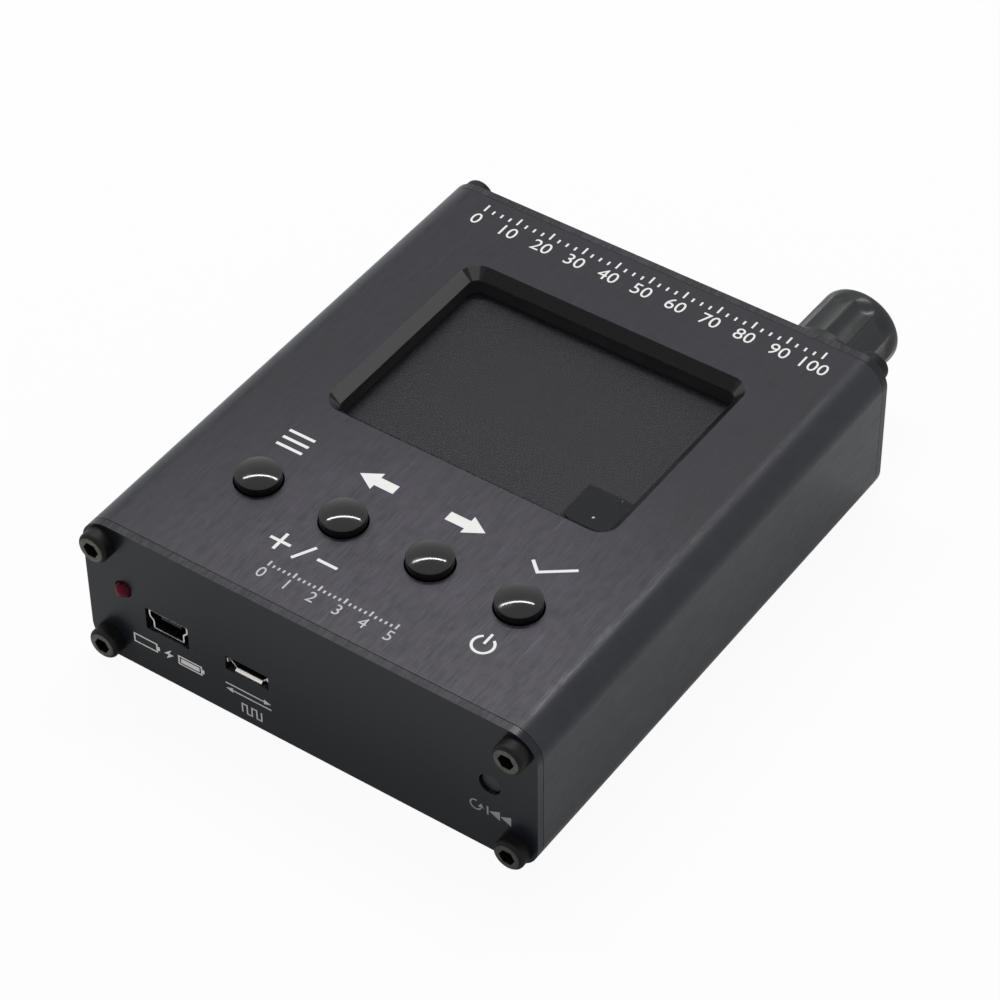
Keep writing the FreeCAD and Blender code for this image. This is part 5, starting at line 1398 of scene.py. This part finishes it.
@dataclass
class Enclosure(Assembly):
    """Extruded case, end plates and their screws."""

    window: Point = (50.5, 38.0)
    window_y: float = 12.2
    corner: float = 1.75
    bevel: float = 1.7
    overcut: float = 0.01
    clear: float = 0.3
    corner_steps: int = 10
    wears = {CASE_ANODISING: "extruded_case", PLATE_ANODISING: "front_panel rear_panel",
             SCREW_OXIDE: "front_panel_screws rear_panel_screws"}

    def make(self) -> None:
        """Bevel the window of a copy of the case all round, which then stands for it."""
        mesh = cut_away(merged(self.bench.nodes["extruded_case"]), self._bevel_tool())
        piece = self.bench.add("bevelled_case", mesh, CASE_ANODISING, "anodised_case")
        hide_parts("extruded_case")

    def _ring(self, drop: float) -> Iterable[tuple[float, float, float]]:
        """The 45 degree cutter's outline at a depth under the top face, corners and all.

        Args:
            drop: The depth in millimetres.

        Returns:
            The points, in the frame's metres.
        """
        radius = self.corner + self.bevel - drop + self.overcut
        for quarter, (side_x, side_y) in enumerate(((1, 1), (-1, 1), (-1, -1), (1, -1))):
            x = side_x * (self.window[0] / 2 - self.corner)
            y = self.window_y + side_y * (self.window[1] / 2 - self.corner)
            for step in range(self.corner_steps + 1):
                turn = math.pi / 2 * (quarter + step / self.corner_steps)
                yield ((x + radius * math.cos(turn)) * MM, (y + radius * math.sin(turn)) * MM,
                       TOP_LEVEL - drop * MM)

    def _bevel_tool(self) -> bpy.types.Mesh:
        """What a 45 degree cutter takes away once round the window.

        Returns:
            The closed tool.
        """
        shape = bmesh.new()
        loft(shape, (self._ring(self.bevel + self.clear), self._ring(-self.clear)))
        return meshed(shape)


@dataclass(frozen=True)
class Scale:
    """A row of numbers with ticks over it, on the top face, in millimetres."""

    name: str
    finish: Finish
    numbers: int
    step: int
    pitch: float
    level: float
    height: float
    parts: int
    tick_level: float
    tick: float
    long_tick: float


REAR_SCALE = Scale("rear_scale", WHITE_INK, numbers=11, step=10, pitch=6.5, level=42.0, height=2.6,
                   parts=4, tick_level=44.2, tick=0.9, long_tick=1.7)
FRONT_SCALE = Scale("front_scale", SCALE_INK, numbers=6, step=1, pitch=4.7, level=-43.4, height=2.1,
                    parts=5, tick_level=-41.8, tick=0.6, long_tick=1.1)


@dataclass
class Markings(Assembly):
    """Plain signs, ticks and numbers printed on the top face and the front plate."""

    slot: str = "white_ptfe"
    stroke: float = 0.55
    ring_stroke: float = 0.45
    tick_stroke: float = 0.34
    fine_stroke: float = 0.26

    def make(self) -> None:
        """Print both faces."""
        self._key_signs()
        bars = BarRow()
        for scale in (REAR_SCALE, FRONT_SCALE):
            self._scale(bars, scale)
        self._charging_sign()
        self._data_sign()
        self._reset_sign()

    def _print(self, name: str, stencil: Stencil, face: Face, finish: Finish) -> None:
        """Print a stencil on a face."""
        self.bench.add(name, stencil.mesh(face), finish, self.slot)

    def _key_signs(self) -> None:
        """Menu bars, arrows, tick, plus and minus, and the standby sign at the keys."""
        top = Stencil()
        for level in (-19.6, -17.9, -16.2):
            top.bar((-27.0, level - 0.28), (-22.1, level + 0.28))
        for tip, tail, side in ((-12.2, -5.4, -1.0), (11.2, 4.3, 1.0)):
            neck = tip - side * 3.3
            top.polygon((tip, -17.9), (neck, -15.9), (neck, -16.95), (tail, -16.95), (tail, -18.85),
                        (neck, -18.85), (neck, -19.9))
        top.path(((20.3, -18.5), (22.3, -20.3), (27.2, -16.6)), self.stroke)
        half, reach = self.stroke / 2, 1.9
        x, y = -13.3, -36.6
        top.polygon((x - reach, y - half), (x - half, y - half), (x - half, y - reach), (x + half, y - reach),
                    (x + half, y - half), (x + reach, y - half), (x + reach, y + half), (x + half, y + half),
                    (x + half, y + reach), (x - half, y + reach), (x - half, y + half), (x - reach, y + half))
        top.path(((-9.9, -38.5), (-7.9, -34.7)), self.stroke)
        top.path(((-6.4, -36.6), (-2.7, -36.6)), self.stroke)
        top.arc((24.2, -37.1), 1.75, self.ring_stroke, 122.0, 418.0)
        top.path(((24.2, -36.9), (24.2, -34.6)), self.ring_stroke)
        self._print("key_signs", top, Face.TOP, WHITE_INK)

    def _scale(self, bars: BarRow, scale: Scale) -> None:
        """Print the numbers of a scale and the ticks over them.

        Args:
            bars: The tool that makes rows of ticks.
            scale: The scale.
        """
        flat = Stencil()
        first = -scale.pitch * (scale.numbers - 1) / 2
        numbers = [flat.numeral(str(scale.step * index), (first + index * scale.pitch, scale.level),
                                scale.height, Face.TOP) for index in range(scale.numbers)]
        self.bench.add(scale.name + "_numbers", joined(numbers), scale.finish, self.slot)
        ticks = bars.mesh({"Count": scale.parts * (scale.numbers - 1) + 1,
                           "Pitch": scale.pitch / scale.parts * MM,
                           "Width": self.tick_stroke * MM, "Length": scale.tick * MM,
                           "Thickness": flat.thick + flat.sunk, "Long Every": scale.parts,
                           "Long Length": scale.long_tick * MM, "Finish": self.bench.material(scale.finish)})
        ticks.transform(Face.TOP.frame() @ Matrix.Translation((0.0, scale.tick_level * MM, -flat.sunk)))
        self.bench.add(scale.name + "_ticks", ticks, scale.finish, self.slot)

    def _charging_sign(self) -> None:
        """An empty battery, a bolt and a full battery."""
        charge = Stencil()
        z = 5.35
        for x in (-33.5, -24.8):
            charge.loop(((x, z), (x + 4.4, z), (x + 4.4, z + 1.7), (x, z + 1.7)), self.fine_stroke)
            charge.bar((x + 4.56, z + 0.45), (x + 4.95, z + 1.25))
        charge.bar((x + 0.4, z + 0.4), (x + 4.0, z + 1.3))
        x, z = -26.75, 6.2
        charge.polygon((x + 0.55, z + 1.15), (x - 0.95, z - 0.15), (x - 0.08, z - 0.15), (x - 0.55, z - 1.15),
                       (x + 0.95, z + 0.15), (x + 0.08, z + 0.15))
        self._print("charging_sign", charge, Face.FRONT, WHITE_INK)

    def _data_sign(self) -> None:
        """An arrow each way over a train of pulses."""
        data = Stencil()
        x, half = -11.35, self.fine_stroke / 2
        for level, side in ((6.65, 1.0), (5.5, -1.0)):
            tip, neck, tail = x + side * 4.35, x + side * 3.0, x - side * 4.35
            data.polygon((tip, level), (neck, level + 0.5), (neck, level + half), (tail, level + half),
                         (tail, level - half), (neck, level - half), (neck, level - 0.5))
        low, high, step = 1.85, 3.65, 0.92
        data.path([(x + (index + 1) // 2 * step - 2.5 * step, high if index // 2 % 2 else low)
                   for index in range(1, 11)], self.fine_stroke)
        self._print("data_sign", data, Face.FRONT, PLATE_INK)

    def _reset_sign(self) -> None:
        """A turning arrow, a bar and two triangles."""
        reset = Stencil()
        x, z = 30.9, 8.35
        reset.arc((x, z), 0.95, self.fine_stroke, 75.0, 345.0)
        reset.polygon((x + 1.0, z + 0.75), (x + 0.42, z - 0.12), (x + 1.5, z - 0.12))
        reset.bar((32.9, z - 0.9), (33.2, z + 0.9))
        for tip in (33.35, 35.35):
            reset.polygon((tip, z), (tip + 1.9, z - 0.95), (tip + 1.9, z + 0.95))
        self._print("reset_sign", reset, Face.FRONT, DIM_INK)


@dataclass
class Display(Assembly):
    """Display glass in its frame, with its film, gasket, foam and ribbon."""

    film_underside: float = 23.5 * MM
    film_air: float = 0.03 * MM
    wears = {DISPLAY_GLASS: "lcd_glass", DISPLAY_BEZEL: "lcd_frame", SCREEN_FILM: "screen_film",
             GASKET_RUBBER: "window_gasket", FOAM: "lcd_foam_pad", RIBBON_FILM: "lcd_ribbon"}

    def make(self) -> None:
        """Lay a film just clear of the glass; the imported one's underside lies in the glass's own face."""
        mesh = merged(self.bench.nodes["screen_film"])
        for vertex in mesh.vertices:
            vertex.co.z = max(vertex.co.z, self.film_underside + self.film_air)
        film = self.bench.add("laid_film", mesh, SCREEN_FILM, "clear_film")
        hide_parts("screen_film")


class Keypad(Assembly):
    """Four domed keys on their switches, and the recessed reset key."""

    wears = {KEY_GLOSS: "button_cap_menu button_cap_left button_cap_right button_cap_ok",
             KEY_STEM: "button_stem_menu button_stem_left button_stem_right button_stem_ok reset_button",
             SOCKET_MOULDING: "key_switch_bases reset_switch_base",
             TINNED_SHEET: "key_switch_covers reset_switch_cover"}


class FrontSockets(Assembly):
    """Charging and data sockets, and the charge lamp."""

    wears = {SOCKET_SHELL: "mini_usb_shell micro_usb_shell",
             SOCKET_MOULDING: "mini_usb_insulator micro_usb_insulator",
             GOLD: "mini_usb_contacts micro_usb_contacts", LAMP_LENS: "charge_led", TINNED_SHEET: "led_leads"}


@dataclass
class AerialConnector(Assembly):
    """Threaded coaxial connector on the rear plate."""

    axis: Point = (25.9 * MM, 14.0 * MM)
    thread_start: float = 56.9 * MM
    thread_end: float = 65.0 * MM
    thread_radius: float = 5.55 * MM
    lead: float = 0.907 * MM
    groove: float = 0.43 * MM
    wears = {CONNECTOR_PTFE: "rf_insulator", GOLD: "rf_contact",
             NICKEL: "rf_connector_shell rf_lock_washer rf_panel_nut"}

    def make(self) -> None:
        """Cut the thread's groove into a copy of the connector's shell, which then stands for it."""
        turns = (self.thread_end - self.thread_start) / self.lead
        coil = ScrewCoil().mesh({"Radius": self.thread_radius, "Lead": self.lead, "Turns": turns,
                                 "Groove": self.groove, "Finish": self.bench.material(NICKEL)})
        coil.transform(Matrix.Translation((self.axis[0], self.thread_start, self.axis[1]))
                       @ Matrix.Rotation(-math.pi / 2, 4, "X"))
        mesh = cut_away(merged(self.bench.nodes["rf_connector_shell"]), coil)
        shell = self.bench.add("threaded_connector", mesh, NICKEL, "nickel_plate")
        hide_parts("rf_connector_shell")


@dataclass
class GripCap(Assembly):
    """Moulded screw cap whose grip flutes start square and run out towards its closed end."""

    axis: Point = AerialConnector.axis
    mouth: float = 51.3
    length: float = 17.6
    mouth_radius: float = 7.55
    end_radius: float = 7.35
    rounding: float = 0.9
    round_steps: int = 6
    bore: float = 5.6
    bore_depth: float = 15.0
    flutes: int = 11
    hollow: float = 5.5
    depth: float = 0.6
    flute_start: float = 5.6
    flute_fade: float = 13.4
    flute_end: float = 16.3
    fade_steps: int = 10
    turn_step: float = 2.5
    smooth_below: float = 22.0
    wears = {CAP_SATIN: "dust_cap", GASKET_RUBBER: "cap_gasket"}

    def make(self) -> None:
        """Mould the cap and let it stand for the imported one."""
        mesh = smoothed(self._mesh(), self.smooth_below)
        cap = self.bench.add("fluted_cap", mesh, CAP_SATIN, "cap_black", "screw_cap")
        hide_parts("dust_cap")

    def _sunk(self, turn: float) -> float:
        """How deep a flute is at an angle in degrees from its middle, 0 on the rib.

        Args:
            turn: The angle in degrees.

        Returns:
            The depth in millimetres.
        """
        surface = (self.mouth_radius + self.end_radius) / 2
        reach = surface - self.depth + self.hollow
        angle = math.radians(turn)
        inside = self.hollow ** 2 - (reach * math.sin(angle)) ** 2
        if inside <= 0.0:
            return 0.0
        return max(0.0, surface - reach * math.cos(angle) + math.sqrt(inside))

    def _rows(self) -> list[tuple[float, float, float]]:
        """The cap's rows from its bore round its mouth to its end: place, radius, share of flute depth.

        Returns:
            The rows, in millimetres.
        """
        outside = [(0.25, 0.0), (self.flute_start - 0.1, 0.0), (self.flute_start + 0.1, 1.0)]
        steps = self.fade_steps
        outside += [(self.flute_fade + (self.flute_end - self.flute_fade) * step / steps,
                     0.5 + 0.5 * math.cos(math.pi * step / steps)) for step in range(steps + 1)]
        slope = (self.end_radius - self.mouth_radius) / self.length
        rows = [(self.bore_depth, self.bore, 0.0), (0.2, self.bore, 0.0), (0.0, self.bore + 0.2, 0.0),
                (0.0, self.mouth_radius - 0.25, 0.0)]
        rows += [(place, self.mouth_radius + slope * place, share) for place, share in outside]
        for step in range(self.round_steps + 1):
            turn = math.pi / 2 * step / self.round_steps
            rows.append((self.length - self.rounding * (1.0 - math.sin(turn)),
                         self.end_radius - self.rounding * (1.0 - math.cos(turn)), 0.0))
        return rows

    def _mesh(self) -> bpy.types.Mesh:
        """The cap as one closed mesh.

        Returns:
            The cap, in the frame.
        """
        offsets = [self.turn_step * step for step in range(-6, 7)]
        pitch = 360.0 / self.flutes
        turns = [(math.radians(pitch * (flute + 0.5) + offset), self._sunk(offset))
                 for flute in range(self.flutes) for offset in offsets]
        shape = bmesh.new()
        loft(shape, ([(self.axis[0] + (radius - share * depth) * math.sin(angle) * MM,
                       (self.mouth + place) * MM,
                       self.axis[1] + (radius - share * depth) * math.cos(angle) * MM)
                      for angle, depth in turns] for place, radius, share in self._rows()))
        bmesh.ops.recalc_face_normals(shape, faces=shape.faces)
        return meshed(shape)


class Circuitry(Assembly):
    """The two boards, what stands on them and what joins them."""

    wears = {BOARD_GREEN: "main_board display_board", NICKEL: "board_spacers spacer_screws",
             GOLD: "header_pins", SOCKET_MOULDING: "header_plug header_socket",
             TINNED_SHEET: "rf_shield crystal_can", CHIP_MOULDING: "processor rf_chips charger_chip",
             FERRITE: "power_choke"}


class PowerPack(Assembly):
    """Flat cell on its tape, with its plug and wires."""

    wears = {CELL_POUCH: "battery_cell", FOAM: "battery_tape", PLUG_NYLON: "battery_plug battery_socket",
             RED_SHEATH: "battery_wire_red", BLACK_SHEATH: "battery_wire_black"}


# --------------------------------------------------------------------------------------
# Studio
# --------------------------------------------------------------------------------------
@dataclass
class View:
    """The camera."""

    lens: float = 135.894
    sensor: float = 36.0
    nearest: float = 0.01
    place: tuple[float, float, float] = (0.247368, -0.347503, 0.425685)
    turn: tuple[float, float, float] = (0.80385568, 0.00906861, 0.60745395)

    def build(self) -> None:
        """Set up the camera."""
        data = bpy.data.cameras.new("camera")
        data.lens = self.lens
        data.sensor_width = self.sensor
        data.clip_start = self.nearest
        camera = bpy.data.objects.new("camera", data)
        camera.location = self.place
        camera.rotation_euler = self.turn
        bpy.context.scene.collection.objects.link(camera)
        bpy.context.scene.camera = camera


@dataclass
class Studio:
    """Pale floor, pale surroundings and a long overhead lamp."""

    floor_half: float = 3.0
    floor_colour: Colour = (0.90, 0.90, 0.90)
    floor_seen: float = 0.94
    floor_mirrored: float = 0.20
    white: Colour = (1.0, 1.0, 1.0)
    air: float = 0.40
    strip_place: tuple[float, float, float] = (-0.367, 0.443, 1.055)
    strip_along: tuple[float, float, float] = (0.808, 0.589, 0.035)
    strip_size: Point = (1.11, 0.05)
    strip_power: float = 8.1

    def build(self) -> None:
        """Set up the floor, the surroundings and the lamp."""
        bpy.context.scene.view_settings.view_transform = "Standard"
        self._floor()
        self._air()
        self._strip()

    @staticmethod
    def _rays(graph: Graph) -> tuple[Wire, Wire]:
        """Whether a ray comes from the camera, and whether it was mirrored or passed something clear.

        Args:
            graph: The tree that asks.

        Returns:
            Both answers, 1 for yes.
        """
        path = graph.add("ShaderNodeLightPath").outputs
        camera, glossy, through = (Wire(graph, path[f"Is {kind} Ray"])
                                   for kind in ("Camera", "Glossy", "Transmission"))
        return camera, graph.math("MAXIMUM", glossy, through)

    def _floor(self) -> None:
        """A pale floor that keeps the shadow, paler to the camera than in a reflection."""
        mesh = bpy.data.meshes.new("floor")
        half = self.floor_half
        mesh.from_pydata([(-half, -half, 0.0), (half, -half, 0.0), (half, half, 0.0), (-half, half, 0.0)],
                         [], [(0, 1, 2, 3)])
        plane = bpy.data.objects.new("floor", mesh)
        bpy.context.scene.collection.objects.link(plane)
        material = bpy.data.materials.new("floor")
        graph = Graph(cleared(material))
        matt = graph.take(0, "ShaderNodeBsdfDiffuse", {"Color": opaque(self.floor_colour)})
        white = graph.take(0, "ShaderNodeEmission", {"Color": opaque(self.white), "Strength": 1.0})
        camera, mirrored = self._rays(graph)
        share = graph.math("MAXIMUM", camera * self.floor_seen, mirrored * self.floor_mirrored)
        both = graph.take(0, "ShaderNodeMixShader", {0: share, 1: matt, 2: white})
        graph.add("ShaderNodeOutputMaterial", {"Surface": both})
        mesh.materials.append(material)

    def _air(self) -> None:
        """Even light from all round, and white where it is seen."""
        world = bpy.data.worlds.new("studio")
        bpy.context.scene.world = world
        graph = Graph(cleared(world))
        seen = graph.math("MAXIMUM", *self._rays(graph))
        strength = graph.remap(seen, 0.0, 1.0, self.air, 1.0)
        light = graph.take(0, "ShaderNodeBackground", {"Color": opaque(self.white), "Strength": strength})
        graph.add("ShaderNodeOutputWorld", {"Surface": light})

    def _strip(self) -> None:
        """The long lamp over and behind the instrument, across the view."""
        data = bpy.data.lights.new("strip", "AREA")
        data.shape = "RECTANGLE"
        data.size, data.size_y = self.strip_size
        data.energy = self.strip_power
        lamp = bpy.data.objects.new("strip", data)
        back = Vector(self.strip_place).normalized()
        across = Vector(self.strip_along)
        across = (across - back * across.dot(back)).normalized()
        turn = Matrix((across, back.cross(across), back)).transposed().to_4x4()
        lamp.matrix_world = Matrix.Translation(self.strip_place) @ turn
        bpy.context.scene.collection.objects.link(lamp)


def main() -> None:
    """Build the instrument's looks in order."""
    logging.basicConfig(level=logging.INFO, format="%(name)s %(message)s")
    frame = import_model()
    View().build()
    Studio().build()
    bench = Bench(frame["nodes"])
    for assembly in (Enclosure, Markings, Display, Keypad, FrontSockets, AerialConnector, GripCap,
                     Circuitry, PowerPack):
        assembly(bench).build()
    bare = sorted(set(frame["nodes"]) - bench.dressed)
    if bare:
        raise ValueError(f"solids without a finish: {bare}")


if __name__ == "__main__":
    main()
